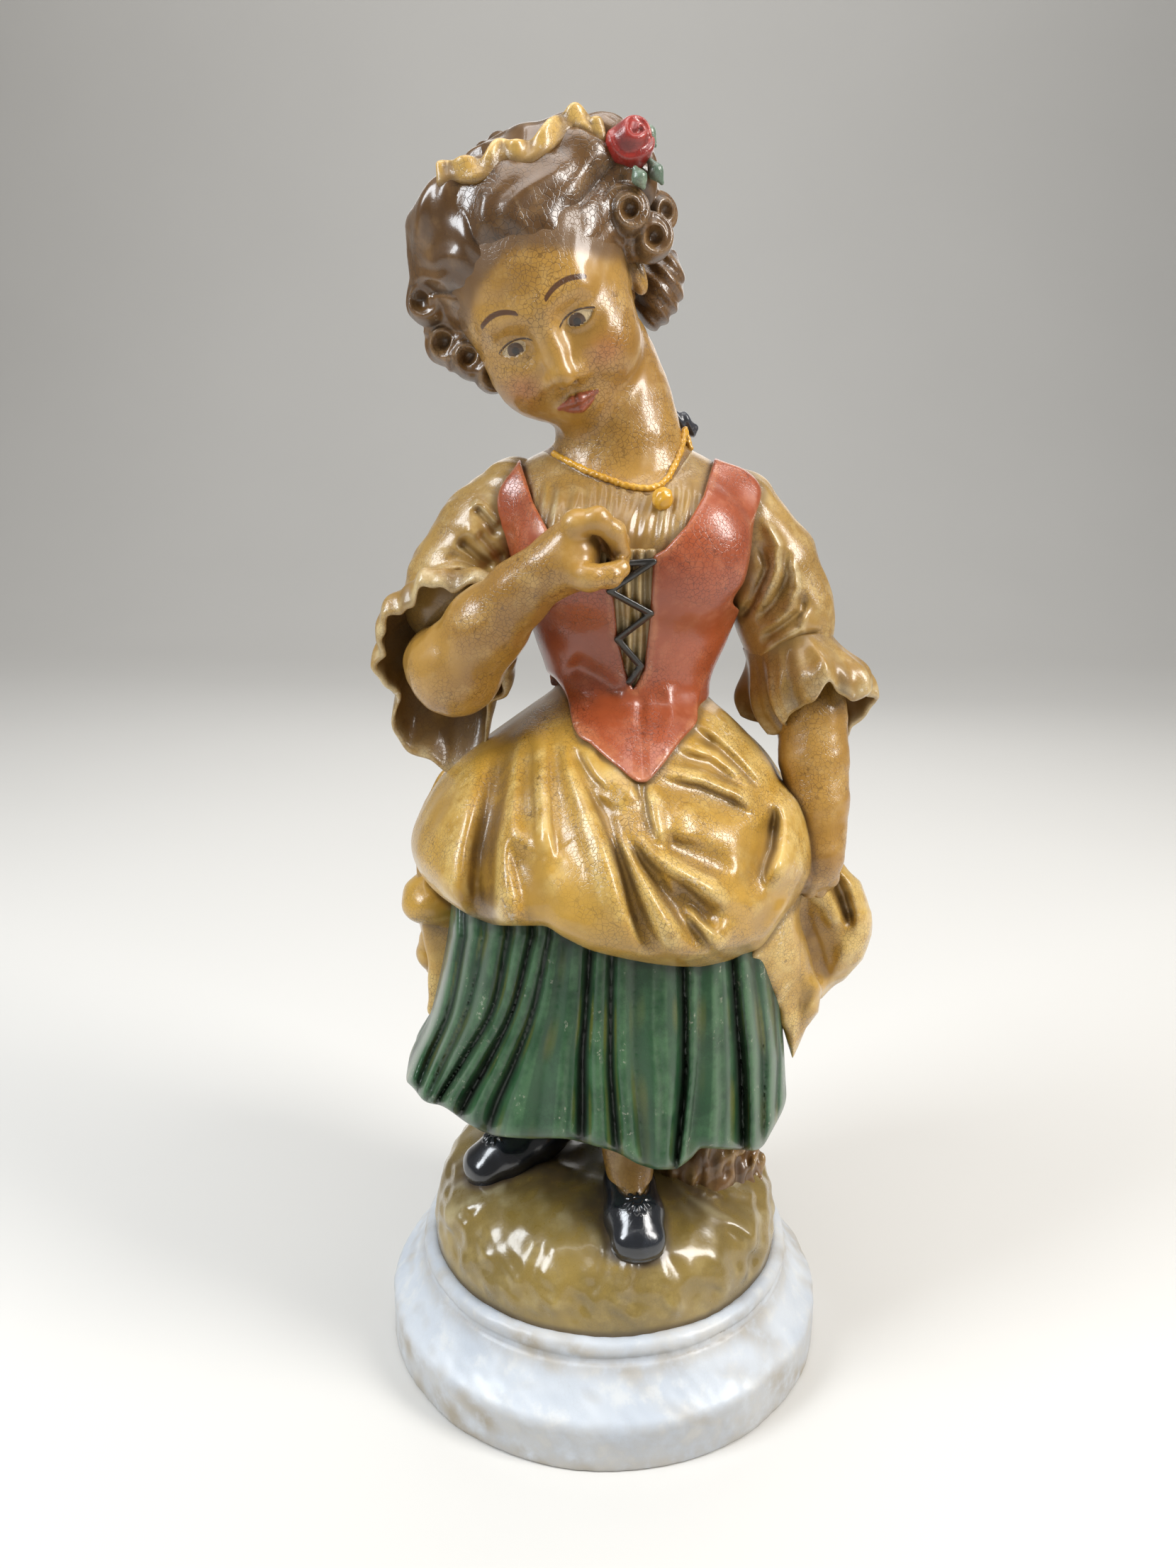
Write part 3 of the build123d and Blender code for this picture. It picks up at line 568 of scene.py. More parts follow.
MATERIALS = {
    "chalk_white": paint("chalk_white", (204, 209, 215), (188, 195, 204), (220, 220, 217), grime_and_shade=(132, 112, 84),
                         dirt_and_shade=0.6, tone=(160, 148, 128), wear=0.1, crackle=0.05, rough=0.5, coat=0.15),
    "ground_ochre": paint("ground_ochre", (146, 122, 60), (124, 104, 52), (168, 146, 86), tone=(76, 62, 50),
                          ridge=(192, 180, 144), ridge_amount=0.6, wear=0.3, crackle=0.15, rough=0.3, coat=0.7),
    "rock_brown": paint("rock_brown", (116, 80, 34), (92, 62, 28), (148, 110, 54), ridge=(178, 144, 86),
                        wear=0.3, crackle=0.25, coat=0.7),
    "shoe_black": paint("shoe_black", (26, 29, 35), (20, 22, 27), (40, 45, 54), grime_and_shade=(16, 15, 15), dirt_and_shade=0.6,
                        wear=0.25, crackle=0.2, rough=0.22, coat=0.9),
    "flesh": paint("flesh", (174, 132, 60), (152, 110, 44), (194, 158, 94), grime_and_shade=(84, 56, 24), dirt_and_shade=0.7,
                   wear=0.25, crackle=0.65, marks=FACE_MARKS),
    "petticoat_green": paint("petticoat_green", (32, 74, 41), (24, 60, 34), (55, 96, 60), grime_and_shade=(12, 20, 12),
                             dirt_and_shade=0.6, ridge=(76, 114, 76), tone=(10, 18, 8), wear=0.25,
                             crackle=0.2, coat=0.4, marks=(("olive", 0.25, 1.0, (84, 92, 34)),)),
    "skirt_ochre": paint("skirt_ochre", (188, 146, 60), (168, 128, 50), (204, 170, 94), grime_and_shade=(74, 54, 32),
                         dirt_and_shade=0.7, tone=(108, 76, 36), ridge=(222, 192, 120), ridge_amount=0.55, wear=0.4,
                         crackle=0.65),
    "bodice_coral": paint("bodice_coral", (164, 80, 44), (142, 66, 36), (182, 108, 74), grime_and_shade=(72, 34, 22),
                          dirt_and_shade=0.7, ridge=(200, 134, 92), ridge_amount=0.4, crackle=0.6),
    "linen_tan": paint("linen_tan", (174, 138, 72), (152, 117, 57), (202, 174, 114), grime_and_shade=(74, 52, 30),
                       dirt_and_shade=0.55, ridge=(216, 198, 154), ridge_amount=0.55, tone=(104, 70, 36), wear=0.5),
    "lace_black": paint("lace_black", (38, 36, 32), (30, 28, 26), (56, 54, 48), wear=0.1, crackle=0.1),
    "hair_brown": paint("hair_brown", (104, 72, 34), (82, 55, 25), (128, 96, 56), grime_and_shade=(42, 27, 13),
                        ridge=(152, 122, 84), ridge_amount=0.45, wear=0.2, crackle=0.6, crackle_size=1.6,
                        rough=0.32, coat=0.6),
    "frill_cream": paint("frill_cream", (206, 168, 92), (184, 144, 70), (224, 196, 134), grime_and_shade=(96, 66, 32),
                         dirt_and_shade=0.8, wear=0.4),
    "rose_red": paint("rose_red", (164, 48, 38), (136, 36, 30), (190, 78, 62), grime_and_shade=(84, 24, 20), wear=0.3),
    "leaf_green": paint("leaf_green", (112, 132, 112), (92, 112, 94), (150, 164, 140), wear=0.5),
    "gold_paint": paint("gold_paint", (208, 154, 36), (186, 132, 30), (224, 182, 74), grime_and_shade=(120, 80, 20),
                        wear=0.2, crackle=0.15),
    "ribbon_dark": paint("ribbon_dark", (42, 46, 56), (34, 36, 44), (64, 70, 82), wear=0.2, crackle=0.1),
    "dowel_iron": paint("dowel_iron", (92, 90, 88), (72, 70, 68), (112, 110, 108), wear=0.0, crackle=0.0),
}

# Shared forms

petticoat_form = Stack([
    (84, -3, 0, 65, 64), (95, -3, 0, 64, 63), (115, -1.4, 0, 60.3, 59), (140, 0.2, 0, 56, 54.5),
    (182, 0, 0, 47, 47.6)])
apron_form = Stack([
    (150, 0, 0, 58, 60), (160, 0, 0, 63, 66.5), (167, 0, 0, 65.6, 70), (178, 0, 0, 66, 68.8),
    (195, 0, 0, 59, 60), (209.7, 2, 0, 46.4, 46.4), (222, 4, 0, 32, 31), (229, 5, 0, 24.5, 21.5),
    (236, 5, 0, 21, 18.5)])
drape_form = Stack([
    (104, -2.2, 0, 62, 63), (109, -2.2, 0, 62.8, 64.3), (123, -2.2, 0, 61.8, 67.3), (152, 0, 0, 71, 73),
    (175, 0, 0, 69.6, 73), (198, 0, 0, 58.9, 61.3), (229, 5, 0, 24.5, 21.5), (236, 5, 0, 21, 18.5)])
torso_form = Stack([
    (221, 5, 0, 24, 21), (229, 5, 0, 23.5, 20.5), (245, 5.4, -1, 28.2, 22.7), (263, 5.5, -3, 34, 27),
    (276, 4, -3, 36, 27), (288, 2, 0, 36, 23.2), (297, 1, 2, 29.9, 17.3), (303, 1, 3, 18.7, 13.5),
    (308, 1, 4, 12, 10)])
PETTICOAT_TOP, WAIST_TOP, BACK_HEM = 178, 230, 96

PETTICOAT_HEM = through(
    [540, 583, 597, 625, 660, 690, 740, 800, 840, 870, 900, 930, 955, 975, 990, 1045, 1075, 1092, 1112, 1150],
    [1500, 1535, 1552, 1561, 1585, 1600, 1606, 1607, 1617, 1626, 1642, 1650, 1648, 1634, 1620, 1622, 1618, 1590,
     1555, 1500])
PLEAT_ROWS = [1320, 1430, 1500, 1560, 1660]
PLEATS = [
    [632, 606, 575, 556, 530], [655, 634, 604, 583, 556], [682, 656, 626, 600, 572], [718, 694, 650, 612, 580],
    [752, 722, 688, 655, 618], [776, 752, 726, 700, 672], [796, 783, 770, 762, 750], [834, 827, 822, 822, 818],
    [864, 862, 862, 866, 874], [897, 894, 896, 900, 910], [966, 969, 970, 966, 954], [988, 986, 984, 978, 966],
    [1032, 1040, 1046, 1049, 1050], [1058, 1072, 1078, 1078, 1076], [1084, 1094, 1098, 1096, 1092],
    [1097, 1106, 1111, 1111, 1108], [1114, 1122, 1128, 1130, 1130]]
PLEAT_WEIGHT = np.array((1, 0.7, 0.55, 0.8, 1, 0.8, 0.4, 1, 0.8, 0.5, 1, 0.4, 1, 0.45, 0.35, 0.2, 0.15))
PLEAT_LINES = [through(PLEAT_ROWS, line) for line in PLEATS]
PLEAT_CREASES = [
    (-1.2, 6, [(928, 1330), (926, 1450), (935, 1540), (930, 1690)]),
    (-1.0, 6, [(1012, 1330), (1015, 1450), (1018, 1560), (1010, 1680)]),
    (-0.9, 6, [(812, 1330), (806, 1450), (798, 1560), (790, 1650)]),
]


def pleated(u, v):
    """Pleats between valley lines of the front view: height, and how high on its pleat a point is."""
    lines = np.stack([line(v) for line in PLEAT_LINES])
    low = np.clip((lines <= u).sum(0) - 1, 0, len(PLEATS) - 2)
    columns = np.arange(len(u))
    left, right = lines[low, columns], lines[low + 1, columns]
    s = np.clip((u - left) / (right - left), 0, 1)
    depth = np.minimum(0.14 * (right - left), 5.6)
    weight = PLEAT_WEIGHT[low] * (1 - s) + PLEAT_WEIGHT[low + 1] * s
    crown = 1 - weight * (1 - np.maximum(np.sin(math.pi * s), 0) ** 1.2)
    return depth * (crown - 0.70) + folds(u, v, PLEAT_CREASES), crown


def facing(p):
    """1 at the front of the skirt and 0 at its back."""
    return 1 - ramp(p[:, 1], -12, 12)


def pleat_lift(p):
    """Height of the petticoat's pleats, and how high on its pleat a point is."""
    u, v = front_view(p)
    ahead = facing(p)
    a = petticoat_form.angle(p)
    flare = np.clip((185 - p[:, 2]) / 90, 0.25, 1)
    front, crown = pleated(u, v)
    back = np.sqrt(np.abs(np.cos(12 * a)))
    lift = ahead * front * np.clip(flare * 1.3, 0.7, 1.1) - (1 - ahead) * 4.2 * flare * (1 - back)
    return lift, ahead * crown + (1 - ahead) * back


def petticoat(p):
    u, v = front_view(p)
    ahead = facing(p)
    kick = 4.5 * ramp(118 - p[:, 2], 0, 28) * np.exp(-((u - 590) / 38) ** 2) * (p[:, 1] < 25)
    f = petticoat_form(p) - 0.85 * (pleat_lift(p)[0] + kick)
    under_front = (v - PETTICOAT_HEM(u)) / HEM_SCALE
    under_back = BACK_HEM + 1.2 * np.cos(24 * petticoat_form.angle(p)) - p[:, 2]
    hem = ahead * under_front + (1 - ahead) * under_back
    hollow = smax(petticoat_form(p) + 9.5, -(hem + 9), 3.0)
    f = smax(f, hem, 3.2)
    f = smax(f, -hollow, 1.5)
    return smax(f, p[:, 2] - PETTICOAT_TOP, 1.0)


def petticoat_tone(verts):
    crown = pleat_lift(verts)[1]
    flank = 0.9 * ramp(crown, 0.35, 0.60) * (1 - ramp(crown, 0.66, 0.92))
    # Pleat valleys take the near-black tone as painted shade, and crests take a painted highlight
    return {"tone": 1 - ramp(crown, 0.0, 0.72), "crest": 0.8 * ramp(crown, 0.85, 1.0),
            "olive": flank * (0.5 + 0.5 * ripple(verts, 22, 5))}


APRON_HEM = through(
    [560, 600, 650, 690, 720, 765, 795, 830, 880, 940, 980, 1020, 1050, 1075, 1110, 1180],
    [1200, 1245, 1284, 1303, 1306, 1306, 1322, 1339, 1352, 1362, 1364, 1358, 1347, 1336, 1290, 1240])
APRON_FOLDS = [
    (2.8, 26, [(690, 1000), (672, 1080), (658, 1150), (646, 1210), (640, 1290), (636, 1400)]),
    (-5.2, 13, [(738, 990), (714, 1080), (697, 1150), (685, 1200), (681, 1250), (688, 1320), (702, 1440)]),
    (3.0, 18, [(752, 980), (730, 1080), (718, 1160), (713, 1230), (716, 1310), (726, 1420)]),
    (-1.6, 9, [(716, 1180), (738, 1228), (750, 1258), (762, 1330)]),
    (-1.8, 9, [(744, 1030), (745, 1110), (752, 1190)]),
    (2.2, 10, [(760, 1010), (764, 1100), (766, 1165), (780, 1205), (812, 1228)]),
    (-1.4, 9, [(782, 1030), (787, 1150), (792, 1260)]),
    (3.2, 13, [(790, 1000), (806, 1090), (832, 1135), (852, 1190), (868, 1245), (886, 1300), (912, 1365)]),
    (-3.2, 9, [(808, 1050), (845, 1138), (866, 1180), (882, 1230), (893, 1275), (908, 1315), (936, 1375)]),
    (2.9, 10, [(850, 1150), (887, 1202), (912, 1250), (937, 1297), (980, 1370)]),
    (-2.8, 8, [(872, 1160), (908, 1218), (942, 1262), (972, 1295), (1008, 1350)]),
    (3.2, 13, [(868, 1166), (930, 1210), (978, 1240), (1022, 1268), (1056, 1284)]),
    (-2.4, 7, [(940, 1240), (985, 1282), (1012, 1318)]),
    (1.8, 8, [(955, 1278), (998, 1312), (1030, 1350)]),
    (-2.6, 12, [(890, 1155), (950, 1196), (1000, 1222), (1060, 1232)]),
    (2.0, 7, [(914, 1095), (924, 1155), (938, 1205)]),
    (-1.7, 8, [(902, 1095), (912, 1150), (924, 1195)]),
    (2.6, 11, [(970, 995), (1030, 1052), (1062, 1090), (1110, 1116)]),
    (-1.8, 8, [(972, 1028), (1030, 1075), (1072, 1114)]),
    (1.8, 8, [(945, 1046), (1010, 1062), (1045, 1092), (1074, 1140)]),
    (-1.5, 6, [(935, 1066), (1000, 1080), (1050, 1112)]),
    (1.8, 8, [(925, 1086), (990, 1098), (1040, 1118), (1084, 1150)]),
    (-1.6, 7, [(922, 1104), (985, 1116), (1030, 1135), (1066, 1158)]),
    (1.2, 12, [(960, 1130), (968, 1165), (955, 1190)]),
    (3.2, 12, [(1102, 1085), (1113, 1155), (1106, 1205), (1094, 1270)]),
    (-2.6, 11, [(1090, 1130), (1083, 1195), (1062, 1235), (1026, 1262)]),
    (-1.2, 14, [(1112, 1236), (1084, 1290), (1056, 1340)]),
    (1.2, 12, [(1124, 1258), (1102, 1305), (1050, 1362)]),
    (1.4, 6, [(815, 1045), (845, 1095), (876, 1122)]),
    (-1.4, 6, [(804, 1050), (830, 1095), (862, 1126)]),
    (1.2, 6, [(848, 1064), (872, 1105), (904, 1132)]),
]


def apron_lift(p):
    u, v = front_view(p)
    return cloth(u, v, APRON_FOLDS) * (1 - ramp(p[:, 1], -8, 6))


def overskirt_front(p):
    u, v = front_view(p)
    f = apron_form(p) + 1.2 - 1.2 * apron_lift(p) + 0.2 * ripple(p, 14, 4)
    f = smax(f, (v - APRON_HEM(u)) / APRON_SCALE, 7.0)
    f = smax(f, p[:, 1] - 8, 4.0)
    return smax(f, p[:, 2] - WAIST_TOP, 1.5)


def apron_tone(verts):
    lift = apron_lift(verts)
    # Fold valleys take the dark tone as painted shade, like a brown wash, and fold crests take a painted highlight
    return {"tone": np.clip(-0.23 * lift - 0.1, 0, 0.7), "crest": np.clip(0.5 * lift - 0.2, 0, 1)}


DRAPE_PART = through([100, 109, 123.4, 152.2, 175, 197.8, 229], [0.1, 0.1, 0.2, 1, 1, 1, 0.3])


def drape_fold(p):
    """Depth of the eleven folds that sweep round as they fall from the waist, 0 on the crests."""
    sweep = np.radians(12 * (229 - p[:, 2]) / 54)
    return DRAPE_PART(p[:, 2]) * (1 - np.cos(11 * (drape_form.angle(p) - sweep))) / 2


def overskirt_back(p):
    a = drape_form.angle(p)
    wrinkle = 0.9 * np.cos(23 * a + p[:, 2] / 14 + 1.5 * np.sin(3 * a)) * ramp(p[:, 2], 118, 150)
    f = drape_form(p) + 3.4 * drape_fold(p) - 0.8 * wrinkle + 0.3 * ripple(p, 17, 9)
    low = 109.5 + 2.2 * np.cos(5.5 * a)
    f = smax(f, low - p[:, 2], 5.0)
    inner = smax(drape_form(p) + 7.0, -(p[:, 2] - low - 42), 4.0)
    f = smax(f, -smax(inner, p[:, 2] - 150, 3.0), 2.0)
    f = smax(f, 8 - p[:, 1], 4.0)
    return smax(f, p[:, 2] - WAIST_TOP, 1.5)


def drape_tone(verts):
    fold = drape_fold(verts)
    # Deep in each fold the dark tone is painted shade; the crests take a painted highlight
    return {"tone": np.clip(0.9 * fold - 0.25, 0, 0.8), "crest": np.clip(0.6 - 2 * fold, 0, 1)}


PUFF_FOLDS = [
    (-1.6, 9, [(560, 1306), (600, 1310), (650, 1300)]),
    (-1.5, 8, [(600, 1235), (625, 1262), (660, 1296)]),
    (-1.4, 8, [(600, 1330), (618, 1360), (640, 1400)]),
]


def right_hip_puff(p):
    u, v = front_view(p)
    f = egg(p, seen(606, 1268, 12), (9.5, 13, 9.0))
    f = smin(f, egg(p, seen(640, 1262, 14), (12, 12, 12)), 6)
    tail = sights([(618, 1310, 16, 7), (612, 1345, 18, 5.5), (622, 1370, 20, 4.2), (634, 1392, 22, 2.6)])
    f = smin(f, chain(p, tail), 4)
    return f - 0.85 * folds(u, v, PUFF_FOLDS) + 0.3 * ripple(p, 10, 12)


TAIL_FOLDS = [
    (-2.4, 6, [(1126, 1256), (1136, 1292), (1152, 1345), (1162, 1402)]),
    (1.6, 12, [(1108, 1262), (1110, 1310), (1116, 1350), (1124, 1390)]),
    (-1.4, 13, [(1104, 1392), (1124, 1406), (1146, 1418)]),
    (2.4, 9, [(1146, 1240), (1166, 1272), (1190, 1314)]),
    (-3.2, 9, [(1164, 1222), (1186, 1262), (1202, 1312)]),
    (2.4, 9, [(1172, 1208), (1204, 1256), (1216, 1304), (1198, 1352), (1166, 1398)]),
    (-1.2, 12, [(1140, 1270), (1162, 1320), (1172, 1372)]),
]
FLAP = [(1098, 1246), (1130, 1252), (1134, 1296), (1150, 1342), (1160, 1396), (1154, 1428), (1138, 1450),
        (1118, 1492), (1104, 1450), (1086, 1398), (1056, 1350), (1078, 1300)]
LOBE = [(1104, 1224), (1150, 1206), (1180, 1206), (1208, 1246), (1224, 1288), (1224, 1318), (1212, 1350),
        (1188, 1380), (1158, 1408), (1140, 1380), (1128, 1340), (1112, 1300)]
WEB = [(1106, 1236), (1168, 1214), (1200, 1280), (1192, 1344), (1156, 1402), (1124, 1440), (1092, 1392),
       (1078, 1310)]
TAIL_TOP = 1262


def tail_lift(p):
    u, v = front_view(p)
    return cloth(u, v, TAIL_FOLDS, rest=26.0, reach=70.0)


def left_drape(p):
    u, v = front_view(p)
    back, drop = p[:, 1], v - TAIL_TOP
    flap_depth = np.abs(back + 15 - 0.05 * drop + 0.2 * np.clip(1130 - u, 0, 70)) * 0.9 - 7.0
    lobe_depth = np.abs(back - 8 - 0.02 * drop) * 0.9 - 10.5
    web_depth = np.abs(back - 4) * 0.9 - 7.0
    flap = smax(in_outline(u, v, FLAP) / TAIL_SCALE, flap_depth, 6)
    lobe = smax(in_outline(u, v, LOBE) / TAIL_SCALE, lobe_depth, 9)
    web = smax(in_outline(u, v, WEB) / TAIL_SCALE, web_depth, 5)
    root = chain(p, [(56, 2, 178, 9), (60, 6, 158, 10), (58, 12, 140, 9)], 4)
    f = smin(smin(smin(flap, lobe, 2.5), web, 3), root, 5)
    return f - 0.8 * tail_lift(p) + 0.2 * ripple(p, 9, 14)


def tail_tone(verts):
    lift = tail_lift(verts)
    # Fold valleys take the dark tone as painted shade, and crests take a painted highlight
    return {"tone": np.clip(-0.32 * lift - 0.2, 0, 0.9), "crest": np.clip(0.5 * lift, 0, 1)}


# Body

NECKLINE = [(735, 480), (735, 655), (752, 708), (775, 752), (815, 790), (860, 800), (905, 793), (938, 775),
            (968, 742), (992, 700), (1007, 650), (1010, 480)]
OPENING = [(846, 780), (866, 845), (872, 900), (882, 945), (893, 972), (908, 945), (916, 880), (922, 780)]
POINT = through([700, 800, 808, 835, 870, 905, 912, 930, 960, 990, 1000, 1060],
                [980, 985, 1022, 1051, 1081, 1104, 1103, 1085, 1046, 1009, 985, 980])
CHEST_BACK = 4
LACING = [(852, 797), (922, 792), (860, 834), (918, 866), (871, 902), (904, 940), (888, 962)]
BODICE_FOLDS = [
    (-1.2, 8, [(905, 975), (903, 1020), (905, 1070), (908, 1120)]),
    (1.0, 12, [(940, 960), (950, 1010), (930, 1070)]),
    (-1.3, 14, [(800, 930), (840, 955), (880, 985)]),
]


def bust(p):
    f = torso_form(p)
    f = smin(f, egg(p, (-12, -19, 272), (14, 12, 15)), 9)
    return smin(f, egg(p, (22, -18, 272), (15, 12, 16)), 9)


RIGHT_EDGE = through([600, 650, 690, 730, 770, 805, 850, 1110], [742, 731, 705, 701, 708, 722, 700, 700])
LEFT_EDGE = through([600, 645, 662, 695, 735, 780, 820, 850, 890, 1110],
                    [1000, 1008, 1050, 1074, 1064, 1059, 1050, 1034, 1100, 1100])


def shoulders(p):
    f = bust(p)
    f = smin(f, ball(p, seen(728, 702, 3), 12.0), 8)
    return smin(f, egg(p, seen(1032, 722, 3), (13.5, 14, 15)), 8)


def bodice(p):
    u, v = front_view(p)
    front = p[:, 1] < CHEST_BACK
    f = shoulders(p) - 1.6
    f = smin(f, np.maximum(apron_form(p) - 1.4, np.abs(u - 893) / CHEST_SCALE - 19), 3)
    f = f - folds(u, v, BODICE_FOLDS) * front
    below = np.where(front, (v - POINT(u)) / APRON_SCALE, 228 - p[:, 2])
    f = smax(f, below, 1.4)
    f = smax(f, np.where(front, -in_outline(u, v, NECKLINE) / CHEST_SCALE, NO_CUT), 1.2)
    f = smax(f, np.where(front, -in_outline(u, v, OPENING) / CHEST_SCALE, NO_CUT), 1.0)
    f = smax(f, (RIGHT_EDGE(v) - u) / CHEST_SCALE, 1.4)
    f = smax(f, (u - LEFT_EDGE(v)) / CHEST_SCALE, 1.4)
    f = smax(f, -ball(p, (2, 10, 316), 25), 1.5)
    return smax(f, p[:, 2] - 306 + 20 * ramp(p[:, 1], -2, 12), 1.5)


COLLAR = through([690, 735, 799, 855, 899, 932, 952, 975, 1007, 1060],
                 [585, 615, 652, 679, 692, 690, 668, 630, 590, 560])


def chemise(p):
    u, v = front_view(p)
    front = p[:, 1] < CHEST_BACK
    f = bust(p) + 0.3
    f = smax(f, np.where(front, (COLLAR(u) - v) / CHEST_SCALE, NO_CUT), 0.8)
    yoke = 0.28 * np.sin(u / 2.9 + 1.6 * np.sin(v / 23) + 1.6 * np.sin(u / 17))
    gather = (yoke * ramp(v, 672, 700) * (1 - ramp(v, 715, 790))
              + 0.3 * np.sin(u / 4.1 + v / 30) * ramp(v, 690, 740))
    f = f - gather * front
    return smax(f, 250 - p[:, 2], 2.0)


def stomacher(p):
    u, v = front_view(p)
    f = bust(p) - 0.4 - 0.45 * np.sin(u / 2.6 + 0.5 * np.sin(v / 21))
    f = smax(f, (in_outline(u, v, OPENING) - 6) / CHEST_SCALE, 1.0)
    f = smax(f, -bust(p) - 4, 0.5)
    return smax(f, p[:, 1], 1.0)


def bodice_lace(p):
    u, v = front_view(p)
    d, _ = to_line(u, v, LACING)
    f = smax(bust(p) - 2.9, (d - 5.0) / CHEST_SCALE, 1.0)
    f = smax(f, -bust(p) - 0.5, 0.5)
    return smax(f, p[:, 1], 1.0)


SLEEVE_FOLDS = [
    (-2.2, 8, [(668, 712), (690, 735), (704, 760)]),
    (-2.4, 8, [(644, 760), (672, 784), (700, 803)]),
    (-2.0, 7, [(672, 750), (692, 770), (712, 792)]),
    (1.3, 8, [(652, 742), (680, 762), (702, 788)]),
    (1.4, 7, [(664, 706), (684, 718), (704, 744)]),
    (1.8, 6, [(606, 806), (650, 800), (690, 815), (716, 836)]),
    (-1.4, 7, [(630, 780), (660, 792), (690, 812)]),
    (-2.2, 8, [(1066, 760), (1084, 800), (1062, 850), (1040, 880)]),
    (1.8, 9, [(1072, 720), (1098, 770), (1088, 820), (1060, 870)]),
    (-2.0, 8, [(1104, 770), (1112, 812), (1092, 850), (1064, 880)]),
    (1.8, 8, [(1112, 780), (1124, 830), (1110, 865), (1080, 890)]),
    (-1.8, 7, [(1130, 830), (1132, 862), (1100, 885), (1070, 905)]),
    (1.5, 6, [(1140, 850), (1130, 888), (1100, 905), (1070, 925)]),
    (-1.8, 6, [(1164, 890), (1130, 900), (1100, 915), (1076, 935)]),
    (-1.4, 7, [(1060, 920), (1080, 960), (1090, 1010)]),
]


def sleeve(p, points):
    u, v = front_view(p)
    return chain(p, points, 6) - 0.85 * folds(u, v, SLEEVE_FOLDS) + 0.25 * ripple(p, 8, 21)


RIGHT_SLEEVE = sights([(728, 702, 3, 12.0), (690, 752, 3, 14.5), (650, 815, 3, 14.5), (632, 850, 3, 14.0)])
LEFT_SLEEVE = sights([(1036, 725, 3, 13.8), (1082, 800, 4, 14.5), (1106, 862, 4, 14.2), (1112, 910, 3, 13.6)])
right_sleeve = partial(sleeve, points=RIGHT_SLEEVE)
left_sleeve = partial(sleeve, points=LEFT_SLEEVE)

RIGHT_ARM = sights([(622, 935, -10, 11.5), (642, 944, -19, 12.8), (687, 884, -27, 10.8), (735, 834, -34, 8.2),
                    (772, 803, -39, 6.6), (800, 782, -41, 7.2)])
RIGHT_FINGERS = [
    [(802, 765, -43, 4.4), (812, 740, -45, 3.7), (843, 733, -46, 3.3), (866, 750, -44, 3.0), (876, 777, -41, 2.6)],
    [(806, 765, -38, 4.2), (822, 744, -39, 3.6), (850, 742, -39, 3.3), (872, 765, -38, 3.0), (874, 792, -36, 2.7)],
    [(808, 780, -33, 4.2), (828, 758, -33, 3.6), (856, 758, -33, 3.4), (874, 782, -32, 3.0), (868, 802, -31, 2.7)],
    [(804, 804, -44, 5.0), (832, 815, -47, 3.6), (860, 812, -46, 3.1), (876, 802, -44, 2.6)],
]


def right_forearm(p):
    f = chain(p, RIGHT_ARM, 6)
    f = smin(f, egg(p, seen(807, 784, -38), (7.4, 7.5, 9.6)), 5)
    for finger in RIGHT_FINGERS:
        f = smin(f, chain(p, sights(finger), 1.6), 1.8)
    return f + 0.12 * ripple(p, 6, 31)


LEFT_ARM = sights([(1140, 960, 0, 10), (1145, 1010, -3, 9.8), (1148, 1070, -7, 9.6), (1153, 1130, -11, 8.6),
                   (1156, 1180, -14, 7.0), (1152, 1205, -16, 7.2)])


def left_forearm(p):
    f = chain(p, LEFT_ARM, 6)
    f = smin(f, egg(p, seen(1150, 1216, -17), (7.8, 6.0, 8.5)), 4)
    for x, low in ((1129, 1250), (1143, 1256), (1157, 1255), (1169, 1246)):
        back = -21 + 0.16 * (x - 1129)
        finger = [(x + 1, 1218, back + 1, 3.4), (x, 1238, back - 1, 3.0), (x - 2, low, back + 2, 2.6)]
        f = smin(f, chain(p, sights(finger), 1.5), 1.4)
    f = smin(f, chain(p, sights([(1128, 1195, -18, 4), (1122, 1222, -22, 3.2), (1120, 1244, -23, 2.6)]), 2), 2)
    return f + 0.12 * ripple(p, 6, 32)


# Flounces: cloth bells between the sleeve's end and a drawn rim of front-view points (x, y, back)

AROUND, ROWS, WALL, SCALLOPS = 240, 30, 2.0, 8
RIGHT_RIM = [
    (716, 834, -24), (680, 818, -24), (640, 812, -23), (600, 822, -21), (570, 838, -19), (556, 852, -17),
    (546, 872, -16), (524, 890, -15), (520, 905, -14), (530, 950, -12), (545, 975, -10), (546, 1008, -9),
    (556, 1036, -7), (582, 1062, -6), (596, 1080, -5), (634, 1099, -4), (656, 1090, -4), (680, 1062, -5),
    (692, 1046, -6), (700, 1010, -9), (716, 962, -12), (736, 905, -15)]
LEFT_RIM = [
    (1046, 1006, 8), (1072, 1024, 0), (1097, 1038, -8), (1108, 1010, -14), (1122, 990, -18), (1148, 987, -21),
    (1168, 955, -21), (1190, 968, -20), (1213, 985, -17), (1241, 963, -6), (1236, 985, 2), (1222, 1012, 8),
    (1207, 1038, 12), (1180, 1046, 17), (1130, 1040, 19), (1080, 1026, 16)]


